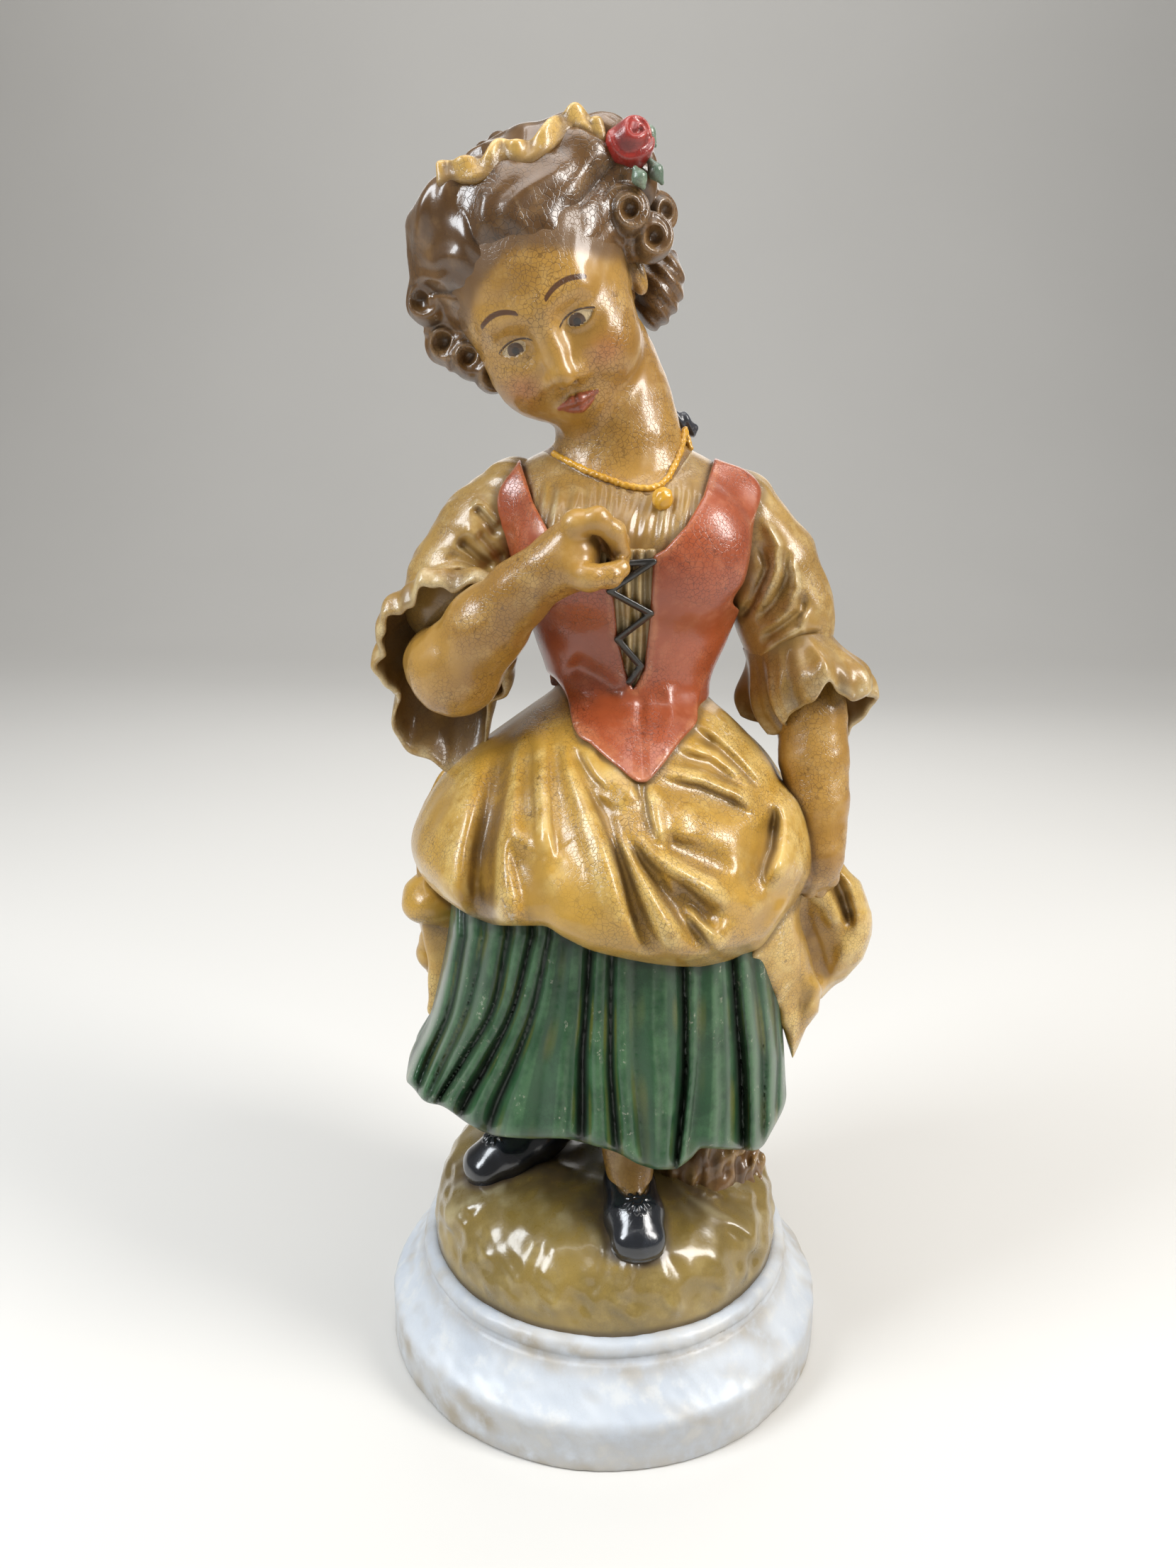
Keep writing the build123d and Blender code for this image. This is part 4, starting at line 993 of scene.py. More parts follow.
def flounce(node, slot, start, aim, radius, rim, seed):
    """Thin bell from a circle round start, facing aim, to the rim."""
    rim = np.array([seen(x, y, back) for x, y, back in rim])
    aim = np.asarray(aim, float) / np.linalg.norm(aim)
    side = np.cross(aim, (0.2, 1.0, 0.3))
    side /= np.linalg.norm(side)
    other = np.cross(aim, side)
    angle = np.unwrap(np.arctan2((rim - start) @ other, (rim - start) @ side))
    if angle[-1] < angle[0]:
        rim, angle = rim[::-1], np.unwrap(angle[::-1])
    closed = np.concatenate([rim, rim[:1]])
    chord = np.concatenate([[0], np.cumsum(np.linalg.norm(np.diff(closed, axis=0), axis=1))])
    dense = np.linspace(0, chord[-1], AROUND, endpoint=False)
    loop = np.stack([np.interp(dense, chord, closed[:, i]) for i in range(3)], 1)
    for _ in range(10):
        loop = 0.5 * loop + 0.25 * (np.roll(loop, 1, 0) + np.roll(loop, -1, 0))
    full = np.concatenate([angle, [angle[0] + 2 * math.pi]])
    turn = np.interp(dense, chord, full)
    first = start + radius * (np.cos(turn)[:, None] * side + np.sin(turn)[:, None] * other)
    rng = np.random.default_rng(seed)
    phase = rng.uniform(0, 6.3, 3)
    outer = []
    for row in range(ROWS + 1):
        t = row / ROWS
        mid = first * (1 - t) + loop * t
        centre = (1 - t) * start + t * loop.mean(0)
        away = mid - centre
        away /= np.linalg.norm(away, axis=1)[:, None]
        swell = 2.2 * math.sin(math.pi * t) - 1.2 * math.sin(2 * math.pi * t)
        wave = t ** 1.3 * (1.9 * np.sin(SCALLOPS * turn + phase[0] + 0.6 * t)
                           + 0.7 * np.sin(2.3 * SCALLOPS * turn + phase[1]))
        outer.append(mid + away * (swell + wave - 0.9 * t)[:, None])
    outer = np.array(outer)
    centre = np.array([(1 - r / ROWS) * start + r / ROWS * loop.mean(0) for r in range(ROWS + 1)])[:, None]
    away = outer - centre
    away /= np.linalg.norm(away, axis=2)[:, :, None]
    inner = outer - WALL * away
    fall = outer[-1] - outer[-2]
    lip = 0.5 * (outer[-1] + inner[-1]) + 0.8 * fall / np.linalg.norm(fall, axis=1)[:, None]
    grid = np.concatenate([outer, lip[None], inner[::-1]])
    count = len(grid)
    verts = grid.reshape(-1, 3)
    i = np.arange(count)[:, None] * AROUND
    j = np.arange(AROUND)[None]
    k = (j + 1) % AROUND
    nxt = ((np.arange(count) + 1) % count)[:, None] * AROUND
    quads = np.stack([i + j, i + k, nxt + k, nxt + j], -1).reshape(-1, 4)
    wave = np.sin(SCALLOPS * turn + phase[0] + 0.6)
    depth = np.repeat(np.linspace(0, 1, ROWS + 1)[:, None], AROUND, axis=1)
    edge = np.ones((1, AROUND))
    # Outside of the bell, its lip and its inside. Scallop hollows, the root by the sleeve and the inside are
    # darkened as dirt and painted shade, the inside also takes the dark tone as painted shade, and the scallop
    # ridges and the lip are lightened as rubbed paint and painted highlight.
    zones = {
        "cav": (np.clip(-wave * depth, 0, 1) * 0.7 + 0.5 * (1 - depth) ** 4, 0 * edge, 0.35 + 0.55 * (1 - depth)),
        "rid": (np.clip(wave, 0, 1) * 0.35 * depth + 0.9 * depth ** 9, edge, 0.6 * depth ** 9),
        "tone": (np.full_like(depth, 0.15), 0 * edge, 0.75 - 0.3 * depth),
    }
    values = {key: np.concatenate([outside, brim, inside[::-1]]).ravel()
              for key, (outside, brim, inside) in zones.items()}
    obj = mesh_object(node + "_form", verts, quads, values, MATERIALS[slot])
    declare(obj, node)


# Head

def turned(axis, degrees):
    c, s = math.cos(math.radians(degrees)), math.sin(math.radians(degrees))
    return {"x": np.array(((1, 0, 0), (0, c, -s), (0, s, c))),
            "y": np.array(((c, 0, s), (0, 1, 0), (-s, 0, c))),
            "z": np.array(((c, -s, 0), (s, c, 0), (0, 0, 1)))}[axis]


HEAD = np.array((-22.0, -6.0, 345.0))
HEAD_TURN = turned("y", -28) @ turned("x", 16) @ turned("z", -12)


def head_space(p):
    return (p - HEAD.astype(F32)) @ HEAD_TURN.astype(F32)


# The face looks down a little more than the skull under the hair.
HEAD_SIZE = 0.92
FACE_TURN = turned("y", -28) @ turned("x", 22) @ turned("z", -12)


def face_space(p):
    return (p - HEAD.astype(F32)) @ FACE_TURN.astype(F32) / F32(HEAD_SIZE)


def from_head(x, y, z):
    return HEAD + HEAD_TURN @ np.array((x, y, z), float)


EYE_X, EYE_Z = 10.2, -5.6
EYEBALL = (EYE_X, -21.6, EYE_Z - 0.3)


def eye_opening(q, side):
    """Almond opening of an eye in the head's own front plane, negative inside."""
    dx = (q[:, 0] - side * EYE_X) / 5.6
    bow = 1 - dx * dx
    upper = q[:, 2] - (EYE_Z + 0.3 + 2.0 * bow)
    lower = (EYE_Z - 0.2 - 1.8 * bow) - q[:, 2]
    return np.maximum(upper, lower), upper


def lips(q):
    m = q.copy()
    m[:, 0] = np.abs(q[:, 0])
    upper = smin(limb(m, (1.1, -31.1, -26.2), (6.2, -28.9, -26.8), 1.5, 0.6),
                 limb(m, (0, -30.9, -26.7), (1.1, -31.1, -26.2), 1.15, 1.5), 0.8)
    lower = limb(m, (0, -30.3, -29.0), (4.8, -28.8, -27.7), 1.8, 0.7)
    return np.minimum(upper, lower)


def face(q):
    m = q.copy()
    m[:, 0] = np.abs(q[:, 0])
    f = egg(q, (0, 4, 7), (29.5, 33, 30))
    f = smin(f, egg(q, (0, -8.5, -11), (23.2, 22, 30)), 9)
    f = smin(f, egg(m, (11, -16, -17), (12, 12.5, 13)), 8)
    f = smin(f, egg(q, (0, -19, -34), (8.6, 8.4, 7.6)), 8)
    f = smin(f, limb(m, (3, -27.5, 1.5), (13, -24.0, 2.5), 4.2, 3.6), 5)
    f = smax(f, -egg(m, (EYE_X, -32.5, EYE_Z + 0.3), (7.4, 5.0, 4.8)), 5)
    opening = np.where(q[:, 0] > 0, eye_opening(q, 1)[0], eye_opening(q, -1)[0])
    lid = smax(ball(m, EYEBALL, 7.2), -opening, 0.5)
    f = smin(f, lid, 1.3)
    f = np.minimum(f, ball(m, EYEBALL, 6.45))
    nose = limb(q, (0, -28.0, -1.0), (0, -33.0, -16.2), 2.7, 3.3)
    nose = smin(nose, ball(q, (0, -33.2, -17.0), 3.5), 1.5)
    nose = smin(nose, egg(m, (3.5, -29.8, -18.2), (2.5, 3.4, 2.4)), 1.6)
    f = smin(f, nose, 4.2)
    f = smax(f, -egg(m, (1.9, -31.6, -20.6), (1.0, 1.5, 1.0)), 0.6)
    f = smax(f, -limb(q, (0, -32.0, -22), (0, -31.9, -24.2), 0.9, 0.9), 1.4)
    f = smin(f, egg(q, (0, -24.4, -27.5), (9, 5.0, 6.0)), 4)
    f = smin(f, lips(q), 0.9)
    seam = limb(m, (0, -32.8, -27.6), (6.6, -29.7, -27.0), 0.45, 0.3)
    f = smax(f, -seam, 0.7)
    f = smax(f, -egg(q, (0, -33.0, -32.2), (4.5, 2.6, 1.6)), 2.5)
    ear = egg(m, (27.6, 3, -7), (3.4, 5.6, 8.6), turned("x", -12))
    ear = smax(ear, -egg(m, (31.0, 1.6, -6.4), (2.4, 3.2, 5.4)), 1.2)
    return smin(f, ear, 1.6)


NECK = [(2, 1, 288, 18.0), (1, 1, 303, 16.6), (-2, 3, 316, 15.4), (-7, 4, 328, 14.6), (-14, 3, 341, 14.0)]


def head(p):
    u, v = front_view(p)
    collar = np.where(p[:, 1] < 6, (v - COLLAR(u)) / CHEST_SCALE - 1.5, 285 - p[:, 2])
    chest = smax(bust(p) + 0.35, collar, 1.0)
    f = smin(HEAD_SIZE * face(face_space(p)), chain(p, NECK, 8), 3.5)
    f = smin(f, smax(smax(chest, 286 - p[:, 2], 1.0), p[:, 2] - 303, 1.0), 5)
    return smax(f + 0.08 * ripple(p, 5, 41), 284 - p[:, 2], 1.0)


def face_paint(verts):
    q = face_space(verts)
    front = (q[:, 1] < -15).astype(F32)
    out = {key: np.zeros(len(q), F32) for key in ("eye", "iris", "pupil", "lash", "brow", "blush", "lip")}
    # Less dirt and painted shade on the middle of the face
    out["clean"] = front * np.exp(-(q[:, 0] / 16) ** 4) * np.exp(-((q[:, 2] + 16) / 19) ** 4) * 0.75
    out["haze"] = 0.6 * ramp(hairline(head_space(verts)), -7, 0) * ramp(-q[:, 1], 2, 10)
    x = np.abs(q[:, 0])
    arc = 3.4 + 2.6 * (1 - ((x - 10.5) / 7.2) ** 2)
    brow = np.abs(q[:, 2] - arc) + np.maximum(np.abs(x - 10.8) - 6.2, 0) * 2
    cheek = np.exp(-(((x - 13.5) / 7.5) ** 2 + ((q[:, 2] + 17) / 6.5) ** 2))

    def add(key, value):
        out[key] = np.maximum(out[key], value)

    for side in (-1, 1):
        own = front * (q[:, 0] * side > 0)
        opening, upper = eye_opening(q, side)
        on_ball = own * (length(q - np.array((side * EYE_X, *EYEBALL[1:]), F32)) < 6.75)
        add("eye", on_ball * np.clip(0.5 - opening / 0.9, 0, 1))
        d = np.hypot(q[:, 0] - side * EYE_X + 0.5, q[:, 2] - EYE_Z + 0.5)
        for key, size in (("iris", 6.4), ("pupil", 2.6)):
            add(key, on_ball * (opening < 0.3) * np.clip(1 - d / size, 0, 1))
        close = (np.abs(q[:, 0] - side * EYE_X) < 5.8) * own
        add("lash", close * np.clip(1 - np.abs(upper - 0.25) / 0.9, 0, 1))
        add("brow", own * np.clip(1 - brow / 2.8, 0, 1))
        add("blush", own * 0.55 * cheek)
    out["lip"] = front * np.clip(0.5 - (lips(q) - 0.25) / 1.0, 0, 1)
    return out


LOCKS = [
    [(630, 312, -18, 8.5), (655, 298, -20, 9.0), (700, 298, -24, 8.0), (735, 300, -26, 6.5)],
    [(616, 360, -8, 6.8), (622, 334, -10, 8.5), (650, 330, -18, 7.5)],
    [(610, 402, -4, 6.4), (616, 372, -6, 7.0)],
    [(770, 246, -12, 12.0), (812, 232, -12, 11.5), (850, 234, -10, 11.0), (884, 250, -8, 9.0)],
]
RINGLETS = [
    (606, 430, -5, 6.6, (-0.3, -1, 0.1)), (634, 486, -2, 6.8, (-0.2, -1, 0)), (664, 508, -5, 6.0, (0, -1, 0.1)),
    (694, 530, -6, 5.0, (0.2, -1, 0)), (884, 300, -18, 6.2, (0.2, -1, 0)), (916, 338, -12, 6.8, (0.25, -1, 0)),
    (926, 302, 0, 5.8, (0.6, -0.8, 0)),
]


def ringlet(p, spot, size, axis):
    """Rolled curl that shows its spiral along its axis."""
    axis = np.asarray(axis, F32) / np.linalg.norm(axis).astype(F32)
    across = np.cross(axis, (0, 0, 1)).astype(F32)
    across /= np.linalg.norm(across)
    d = p - np.asarray(spot, F32)
    x, y, h = d @ across, d @ np.cross(axis, across), d @ axis
    far = np.hypot(x, y)
    spiral = np.cos(2 * math.pi * far / 3.6 - np.arctan2(y, x))
    f = length(d) - size - 0.45 * spiral * ramp(far, 0.6, 2.0)
    return smax(f, -egg(np.stack([x, y, h], 1), (0, 0, size), (0.42 * size, 0.42 * size, 0.62 * size)), 1.8)


PARTING = 7.0
BUN = seen(931, 408, 15)


def hairline(q):
    """How far a point of the head lies behind the hairline."""
    return (q[:, 2] + 0.79 * q[:, 1] + 0.335 * np.abs(q[:, 0]) + 3.0
            - 7.0 * ramp(np.abs(q[:, 0]), 20, 28) * (1 - ramp(q[:, 1], 4, 10)) + 9.0 * ramp(q[:, 1], 6, 16))


def hair(p):
    q = head_space(p)
    back = hairline(q) / 1.32
    f = egg(q, (0, 6, 7.2), (30.6, 33.8, 31.6)) + 1.6 * (1 - ramp(back, 0, 10))
    f = smax(f, -back, 2.5)
    for lock in LOCKS:
        f = smin(f, chain(p, sights(lock), 4), 5)
    theta = np.arctan2(q[:, 0], q[:, 2] + 12)
    swing = 1.1 * np.sin(back / 5.5 + 2.3 * theta) + 0.5 * np.sin(back / 2.9 - 4 * theta)
    tress = np.abs(np.sin(4.2 * theta + 0.6 * swing + 0.4)) ** 0.6
    fine = np.sin(26 * theta + 2.6 * swing)
    wave = np.sin(back / 3.0 + 3.1 * theta)
    f = f - (2.0 * (tress - 0.75) + 0.3 * fine + 0.5 * wave) * ramp(back, -2, 7)
    for x, y, deep, size, axis in RINGLETS:
        f = smin(f, ringlet(p, seen(x, y, deep), size, axis), 3.2)
    bun = egg(p, BUN, (6.4, 9, 11.8), turned("y", 12))
    bun = smin(bun, limb(p, BUN, from_head(8, 22, 2), 6.0, 9.0), 4)
    return smin(f, bun + 0.4 * np.sin(p[:, 2] * 1.1 + p[:, 0]), 2)


def half_hair(p, side):
    """One half of the hair; past the parting it sinks under the other half."""
    past = side * (head_space(p)[:, 0] - PARTING)
    return np.maximum(hair(p) + 0.16 * np.maximum(past, 0), past - 3.0)


def hair_knot(p):
    q = head_space(p)
    d = q - np.array((0, 22, 22), F32)
    twist = np.arctan2(d[:, 0], d[:, 2])
    f = ball(q, (0, 21, 19.0), 19.6)
    coil = np.sin(3 * twist + length(d) * 0.2 + 0.38 * d[:, 1])
    return f + 1.5 * coil + 0.4 * np.sin(24 * twist + 0.9 * d[:, 1])


FRILL = [(623, 250), (640, 240), (656, 245), (675, 245), (691, 235), (704, 219), (718, 213), (731, 221),
         (747, 219), (766, 206), (785, 187), (799, 174), (812, 169), (826, 175), (839, 184), (849, 190)]
# Rows of the ruffle: share of the way from its stem to its edge, and radius
FRILL_ROWS = ((0, 1.4), (0.3, 1.25), (0.6, 1.1), (0.85, 0.95), (1, 0.85))


@cache
def frill_line():
    """Middle line of the ruffle along the hair, with its waves."""
    line = np.array([seen_on(hair, x, y, 1.0) for x, y in FRILL])
    steps = [np.linspace(a, b, 6, endpoint=False) for a, b in zip(line[:-1], line[1:])]
    dense = np.concatenate(steps + [line[-1:]])
    for _ in range(5):
        dense[1:-1] = 0.5 * dense[1:-1] + 0.25 * (dense[:-2] + dense[2:])
    dense[:, 1] += 0.8 * np.sin(np.linspace(0, 1, len(dense)) * 2 * math.pi * 4.5)
    return dense


def hair_frill(p):
    line = frill_line()
    stem = [point - (0, 0, 1.2) for point in line]
    edge = [point + (-0.6, 0.5 + 1.5 * math.sin(0.42 * k), 2.6 + 0.6 * math.cos(0.42 * k))
            for k, point in enumerate(line)]
    rows = [([(1 - share) * low + share * high for low, high in zip(stem, edge)], size)
            for share, size in FRILL_ROWS]
    return joined((limb(p, a, b, size, size) for row, size in rows for a, b in zip(row[:-1], row[1:])), 0.6)


ROSE = seen(886, 204, -18)
ROSE_AXIS = np.array((0.42, -0.80, 0.42))


def rose(p):
    axis = (ROSE_AXIS / np.linalg.norm(ROSE_AXIS)).astype(F32)
    d = p - ROSE.astype(F32)
    h = d @ axis
    side = np.cross(axis, (0, 0, 1)).astype(F32)
    side /= np.linalg.norm(side)
    up = np.cross(side, axis)
    x, y = d @ side, d @ up
    r = np.hypot(x, y)
    spin = np.arctan2(y, x)
    f = egg(p, ROSE, (6.3, 6.3, 6.6))
    petals = np.cos(r * 1.75 - spin + 0.6 * np.sin(2.5 * spin))
    f = f - 0.55 * petals * ramp(h, -2, 3) - 0.5 * np.cos(2.5 * spin + 0.5) * ramp(r, 3, 6)
    bud = egg(p, seen(926, 214, -8), (2.4, 3.0, 3.4))
    return np.minimum(f, bud)


LEAVES = ((905, 172, 924, 205, -14), (916, 226, 934, 258, -18), (896, 238, 908, 264, -22))


def leaf(p, x0, y0, x1, y1, back):
    a, b = seen(x0, y0, back), seen(x1, y1, back)
    mid = 0.5 * (a + b)
    return smin(limb(p, a, mid, 0.8, 2.0), limb(p, mid, b, 2.0, 0.6), 1.0)


def rose_leaves(p):
    return joined((leaf(p, *row) for row in LEAVES), 0.6)


# Small pieces

NECKLACE = [(782, 640), (799, 650), (827, 664), (855, 675), (880, 684), (899, 688), (918, 689), (932, 684),
            (944, 672), (952, 656), (959, 640), (963, 625), (966, 606)]
CORD = 0.95


def skin(p):
    return np.minimum(head(p), chemise(p))


@cache
def necklace_line():
    """Points of the cord: over the chest in front, round the nape behind."""
    front = [seen_on(skin, x, y, 0.5) for x, y in NECKLACE]
    turn = turned("x", 24) @ turned("y", -9)
    behind = []
    for degrees in range(10, 171, 20):
        a = math.radians(degrees)
        behind.append(np.array((2, -4.5, 297)) + turn @ np.array((20.5 * math.cos(a), 23.3 * math.sin(a), 0)))
    return front + behind + front[:1]


def necklace(p):
    line = necklace_line()
    f = reduce(np.minimum, (limb(p, a, b, CORD, CORD) for a, b in zip(line[:-1], line[1:])))
    return f + 0.15 * np.sin(p[:, 0] * 3.1) * np.sin(p[:, 2] * 3.1)


def pendant(p):
    spot = seen(935, 704, -26)
    return egg(p, spot, (3.0, 3.0, 3.3)) - 0.15 * ripple(p, 2.2, 51)


def nape_bow(p):
    spot = np.array((4.0, 19.0, 307.0))
    f = ball(p, spot, 3.0)
    for side in (-1, 1):
        f = smin(f, egg(p, spot + (side * 7, 0, 1), (6.8, 3.0, 3.4)), 1.2)
        f = smin(f, egg(p, spot + (side * 3.6, 1, -7), (2.4, 2.2, 6.2), turned("y", side * 20)), 1.2)
    f = smin(f, chain(p, sights([(948, 588, 12, 2.0), (962, 594, 14, 2.6), (974, 606, 16, 2.4)]), 1), 1)
    return f - 0.2 * np.sin(p[:, 0] * 2.2 + p[:, 2])


# Ground, feet and plinth

mound_form = Stack([
    (28, 0, 0, 59.8, 59.8), (36, 0, 0, 59.8, 59.8), (46.2, 0, 0.6, 59.2, 59.2), (54.9, 0, 3, 57.1, 57.1),
    (61.2, 0, 6.5, 51.4, 51.4), (67, 0, 11, 38, 38)])


def ground_mound(p):
    f = smax(0.5 * mound_form(p), 0.7 * (p[:, 2] - 65.4), 5.0)
    u, v = front_view(p)
    fan, far = np.arctan2(v - 1600, u - 872), np.hypot(u - 872, v - 1600)
    bend = 0.9 * np.sin(far / 41 + 3 * fan) + 0.4 * np.sin(far / 19 - 5 * fan)
    strokes = np.sin(21 * fan + bend) + 0.3 * np.sin(47 * fan + 2 * bend)
    f = f - (0.42 * strokes * ramp(far, 90, 170) * np.clip(0.6 + ripple(p, 30, 62), 0, 1)
             * ramp(-p[:, 1], 0, 12) * ramp(p[:, 2], 37, 46))
    f = f - (0.35 * ripple(p, 16, 61) + 0.15 * ripple(p, 6, 64)) * ramp(p[:, 2], 36, 44)
    return smax(f, 34 - p[:, 2], 0.5)


# Places of the ground in the front view darkened as painted shade and brown paint around the shoes, the rock and
# under the skirt: centre and half sizes
MOUND_SHADE_SPOTS = [(690, 1655, 75, 34), (890, 1745, 62, 52), (980, 1680, 70, 50), (800, 1640, 100, 60),
               (850, 1700, 60, 60)]


def mound_tone(verts):
    u, v = front_view(verts)
    tone = np.zeros(len(verts))
    for x, y, wide, tall in MOUND_SHADE_SPOTS:
        tone = np.maximum(tone, np.exp(-((u - x) / wide) ** 2 - ((v - y) / tall) ** 2))
    back = 0.5 + 0.5 * ripple(verts, 26, 63)
    return {"tone": np.where(verts[:, 1] < 12, 0.9 * tone, 0.6 * back)}


def rock_support(p):
    f = chain(p, [(34, -2, 44, 23), (32, 1, 66, 20), (29, 6, 96, 18)], 8)
    crag = 1.4 * ripple(p, 11, 71) + 0.8 * ripple(p, 5, 72)
    return smax(f - crag, p[:, 2] - 97, 1.0)


def shoe_frame(toe, turn, toe_z):
    return np.array((toe[0], toe[1], toe_z)), turned("z", turn) @ turned("x", 11)


LEFT_SHOE = shoe_frame((10.5, -53.0), 7, 57.0)
RIGHT_SHOE = shoe_frame((-47.0, -15.0), -66, 60.0)


def own_space(p, place):
    """Points in a shoe's own frame, with the toe at its origin."""
    return (p - place[0].astype(F32)) @ place[1].astype(F32)


def shoe_form(q):
    f = chain(q, [(0, 5.2, 3.4, 5.2), (0, 13, 4.4, 7.8), (0, 26, 5.6, 7.4), (0, 40, 8.0, 6.4)], 6)
    f = smin(f, limb(q, (-3.8, 5.6, 3.2), (3.8, 5.6, 3.2), 4.8, 4.8), 4)
    f = smin(f, limb(q, (-2.6, 16, 3.6), (2.6, 16, 3.6), 6.0, 6.0), 5)
    return smax(f, -2.0 - q[:, 2], 1.5)


def stocking_form(q):
    return chain(q, [(0, 20, 8.0, 5.0), (0, 28, 12.0, 6.6), (0, 33, 18.0, 7.6), (0, 36, 44, 8.6)], 5)


def shoe(p, place):
    q = own_space(p, place)
    f = shoe_form(q)
    mouth = egg(q, (0, 27, 16), (6.6, 13.5, 8.5))
    f = smax(f, -mouth, 1.2)
    welt = np.exp(-((q[:, 2] - 0.6) / 0.6) ** 2)
    return f - 0.35 * welt


def leg(p, place):
    return smax(stocking_form(own_space(p, place)), p[:, 2] - 112, 1.0)


def rosette(p, place):
    q = own_space(p, place) - np.array((0, 12.5, 11.6), F32)
    r = np.hypot(q[:, 0], q[:, 1])
    spin = np.arctan2(q[:, 1], q[:, 0])
    f = egg(q, (0, 0, 0), (4.6, 4.6, 2.4)) - 0.35 * np.sin(10 * spin) * ramp(r, 1.5, 3.5)
    return smax(f, -ball(q, (0, 0, 2.8), 1.6), 0.6)


PLINTH_RADIUS, PLINTH_TOP = 75.3, 31.0
COVE_RADIUS, COVE_WIDTH, COVE_TOP = 63.8, 11.0, 30.4


def plinth(p):
    r = np.hypot(p[:, 0], p[:, 1])
    z = p[:, 2]
    t = np.clip((r - COVE_RADIUS) / COVE_WIDTH, 0, 1)
    slope = (r - COVE_RADIUS) * 0.79 + (z - COVE_TOP) * 0.613 + 2.6 * t * (1 - t)
    f = smax(smax(r - PLINTH_RADIUS, slope, 1.4), z - PLINTH_TOP, 1.0)
    f = smin(f, np.hypot(r - 61.2, z - 33.0) - 3.0, 0.5)
    f = smax(f, -(np.hypot(r - 64.6, z - 30.0) - 0.9), 0.6)
    f = f - 0.22 * ripple(p, 24, 81) - 0.08 * ripple(p, 6, 82)
    return smax(f, 0.05 - z, 1.2)


def plinth_tone(verts):
    r, z = np.hypot(verts[:, 0], verts[:, 1]), verts[:, 2]
    stain = np.clip(0.55 * ripple(verts, 34, 83) + 0.45 * ripple(verts, 11, 84), 0, 1)
    # The groove under the bead and the upright band below z 14 to 18 take the tone as painted shade, and the band
    # grows darker towards the bottom edge; the stains vary at random
    gap = np.exp(-((r - 64.8) / 1.6) ** 2)
    tone = 0.6 * stain + 0.4 * gap + 0.35 * (1 - ramp(z, 14, 18)) + 0.2 * ramp(6 - z, 0, 5)
    return {"tone": np.clip(tone, 0, 0.9)}


# Build

def build():
    model("plinth", plinth, "chalk_white", 0.65, margin=5, paint=plinth_tone)
    model("ground_mound", ground_mound, "ground_ochre", 0.9, margin=5, paint=mound_tone,
          touch=(plinth, partial(shoe, place=LEFT_SHOE), partial(shoe, place=RIGHT_SHOE)))
    model("rock_support", rock_support, "rock_brown", 0.8, margin=6)
    for side, place in (("left", LEFT_SHOE), ("right", RIGHT_SHOE)):
        model(side + "_shoe", partial(shoe, place=place), "shoe_black", 0.5)
        model(side + "_leg", partial(leg, place=place), "flesh", 0.6, margin=14, touch=(petticoat,))
        model(side + "_rosette", partial(rosette, place=place), "shoe_black", 0.35, margin=4)
    model("petticoat", petticoat, "petticoat_green", 0.75, margin=12, paint=petticoat_tone,
          touch=(overskirt_front, overskirt_back, left_drape))
    model("overskirt_front", overskirt_front, "skirt_ochre", 0.65, margin=10, paint=apron_tone,
          touch=(bodice, left_forearm))
    model("overskirt_back", overskirt_back, "skirt_ochre", 0.85, margin=10, paint=drape_tone)
    model("right_hip_puff", right_hip_puff, "skirt_ochre", 0.6, margin=14, touch=(overskirt_front,))
    model("left_drape", left_drape, "skirt_ochre", 0.6, margin=28, paint=tail_tone,
          touch=(overskirt_front, left_forearm))
    model("bodice", bodice, "bodice_coral", 0.65, margin=8, touch=(right_forearm,))
    model("chemise", chemise, "linen_tan", 0.6, margin=10, touch=(bodice,),
          paint=lambda verts: {"tone": np.full(len(verts), 0.4)})
    model("stomacher", stomacher, "linen_tan", 0.4, margin=6, touch=(bodice,))
    model("bodice_lace", bodice_lace, "lace_black", 0.35, margin=5)
    model("right_sleeve", right_sleeve, "linen_tan", 0.6, margin=10, touch=(bodice,))
    model("left_sleeve", left_sleeve, "linen_tan", 0.6, margin=10, touch=(bodice,))
    flounce("right_flounce", "linen_tan", seen(648, 850, 2), (-0.1, -0.75, -0.65), 15.0, RIGHT_RIM, 3)
    flounce("left_flounce", "linen_tan", seen(1110, 905, 3), (0.15, -0.25, -0.95), 14.0, LEFT_RIM, 5)
    model("right_forearm", right_forearm, "flesh", 0.5, margin=10, touch=(right_sleeve,))
    model("left_forearm", left_forearm, "flesh", 0.5, margin=10, touch=(left_sleeve, overskirt_front))
    model("head", head, "flesh", 0.5, margin=10, paint=face_paint, touch=(hair, chemise))
    model("right_hair", partial(half_hair, side=1), "hair_brown", 0.5, margin=12)
    model("left_hair", partial(half_hair, side=-1), "hair_brown", 0.5, margin=12)
    model("hair_knot", hair_knot, "hair_brown", 0.7, margin=8)
    model("hair_frill", hair_frill, "frill_cream", 0.5, margin=12, touch=(hair,))
    model("rose", rose, "rose_red", 0.4, margin=12)
    model("rose_leaves", rose_leaves, "leaf_green", 0.4, margin=12)
    model("necklace", necklace, "gold_paint", 0.4, margin=5)
    model("pendant", pendant, "gold_paint", 0.35, margin=8)
    model("nape_bow", nape_bow, "ribbon_dark", 0.5, margin=10)
    for node in ("neck_dowel", "right_arm_dowel", "left_arm_dowel"):
        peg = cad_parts[node]
        peg.data.materials.clear()
        peg.data.materials.append(MATERIALS["dowel_iron"])


build()

# Stage

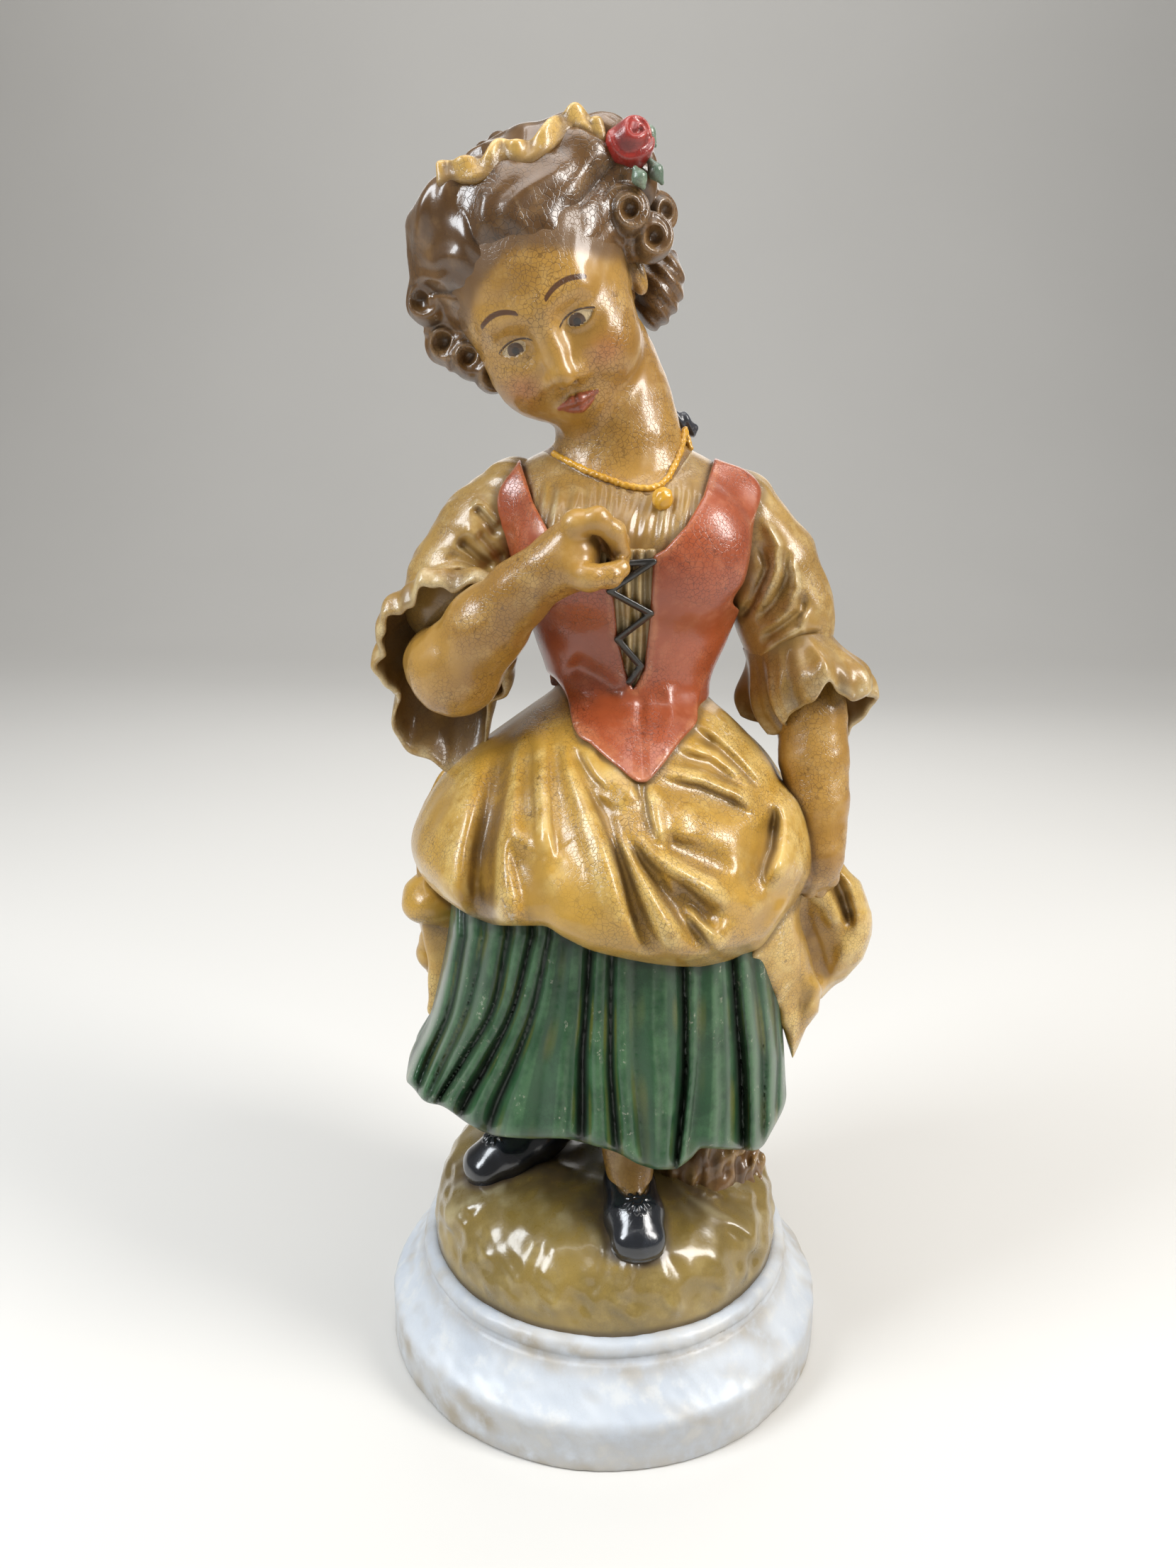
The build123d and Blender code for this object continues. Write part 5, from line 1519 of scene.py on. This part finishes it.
SWEEP_START, SWEEP_RADIUS, SWEEP_STEPS = 1.6, 1.4, 24
FLOOR_FRONT, FLOOR_HALF_WIDTH, BACKDROP_TOP = -4.0, 6.0, 5.0
WHITE = (1.0, 1.0, 1.0)
profile = [(FLOOR_FRONT, 0.0)]
for step in range(SWEEP_STEPS + 1):
    turn = 0.5 * math.pi * step / SWEEP_STEPS
    profile.append((SWEEP_START + SWEEP_RADIUS * math.sin(turn), SWEEP_RADIUS * (1 - math.cos(turn))))
profile.append((SWEEP_START + SWEEP_RADIUS, BACKDROP_TOP))
floor_mesh = bpy.data.meshes.new("floor")
floor_mesh.from_pydata([(x, y, z) for y, z in profile for x in (-FLOOR_HALF_WIDTH, FLOOR_HALF_WIDTH)], [],
                       [(2 * i, 2 * i + 1, 2 * i + 3, 2 * i + 2) for i in range(len(profile) - 1)])
floor_mesh.polygons.foreach_set("use_smooth", [True] * len(floor_mesh.polygons))
floor = bpy.data.objects.new("floor", floor_mesh)
bpy.context.scene.collection.objects.link(floor)
g = Graph("floor_paper")
spread = g.noise(g.node("ShaderNodeTexCoord").outputs["Object"], 2.0, 2.0).outputs[0]
shader = g.node("ShaderNodeBsdfPrincipled")
g.put(shader.inputs["Base Color"], g.mix(spread, linear((206, 204, 200)), linear((212, 210, 206))))
g.put(shader.inputs["Roughness"], 0.9)
g.put(g.node("ShaderNodeOutputMaterial").inputs["Surface"], shader.outputs[0])
floor_mesh.materials.append(g.material)

world = bpy.data.worlds.new("studio")
bpy.context.scene.world = world
world.use_nodes = True
back = world.node_tree.nodes["Background"]
back.inputs["Color"].default_value = (0.86, 0.85, 0.83, 1.0)
back.inputs["Strength"].default_value = 0.26


def lamp(name, place, aim, size, watts, colour):
    data = bpy.data.lights.new(name, "AREA")
    data.shape = "RECTANGLE"
    data.size, data.size_y = size
    data.energy = watts
    data.color = colour
    obj = bpy.data.objects.new(name, data)
    bpy.context.scene.collection.objects.link(obj)
    obj.location = place
    obj.rotation_euler = (Vector(place) - Vector(aim)).to_track_quat("Z", "Y").to_euler()


lamp("window_left", (-0.85, -0.42, 0.95), (0, 0, 0.22), (0.42, 0.70), 13.0, (0.90, 0.95, 1.0))
lamp("window_right", (0.85, -0.38, 0.88), (0, 0, 0.22), (0.36, 0.70), 13.5, (1.0, 0.98, 0.95))
lamp("ceiling", (0.0, -0.1, 1.5), (0, 0, 0.2), (0.9, 0.9), 7.0, WHITE)
lamp("back_soft", (0.1, 1.0, 0.7), (0, 0, 0.25), (1.0, 0.6), 2.0, WHITE)
lamp("backdrop", (0.0, 0.9, 2.6), (0, 3.0, 1.0), (2.5, 0.8), 30.0, WHITE)

camera_data = bpy.data.cameras.new("camera")
camera_data.sensor_fit = "AUTO"
camera_data.sensor_width = SENSOR
camera_data.lens = FOCAL / PICTURE[1] * SENSOR
camera_data.clip_start = 0.01
camera = bpy.data.objects.new("camera", camera_data)
bpy.context.scene.collection.objects.link(camera)
camera.matrix_world = (Matrix.Translation(EYE * MM) @ Matrix.Rotation(math.radians(90) - PITCH, 4, "X")
                       @ Matrix.Rotation(ROLL, 4, "Z"))
bpy.context.scene.camera = camera
bpy.context.scene.view_settings.view_transform = "Standard"
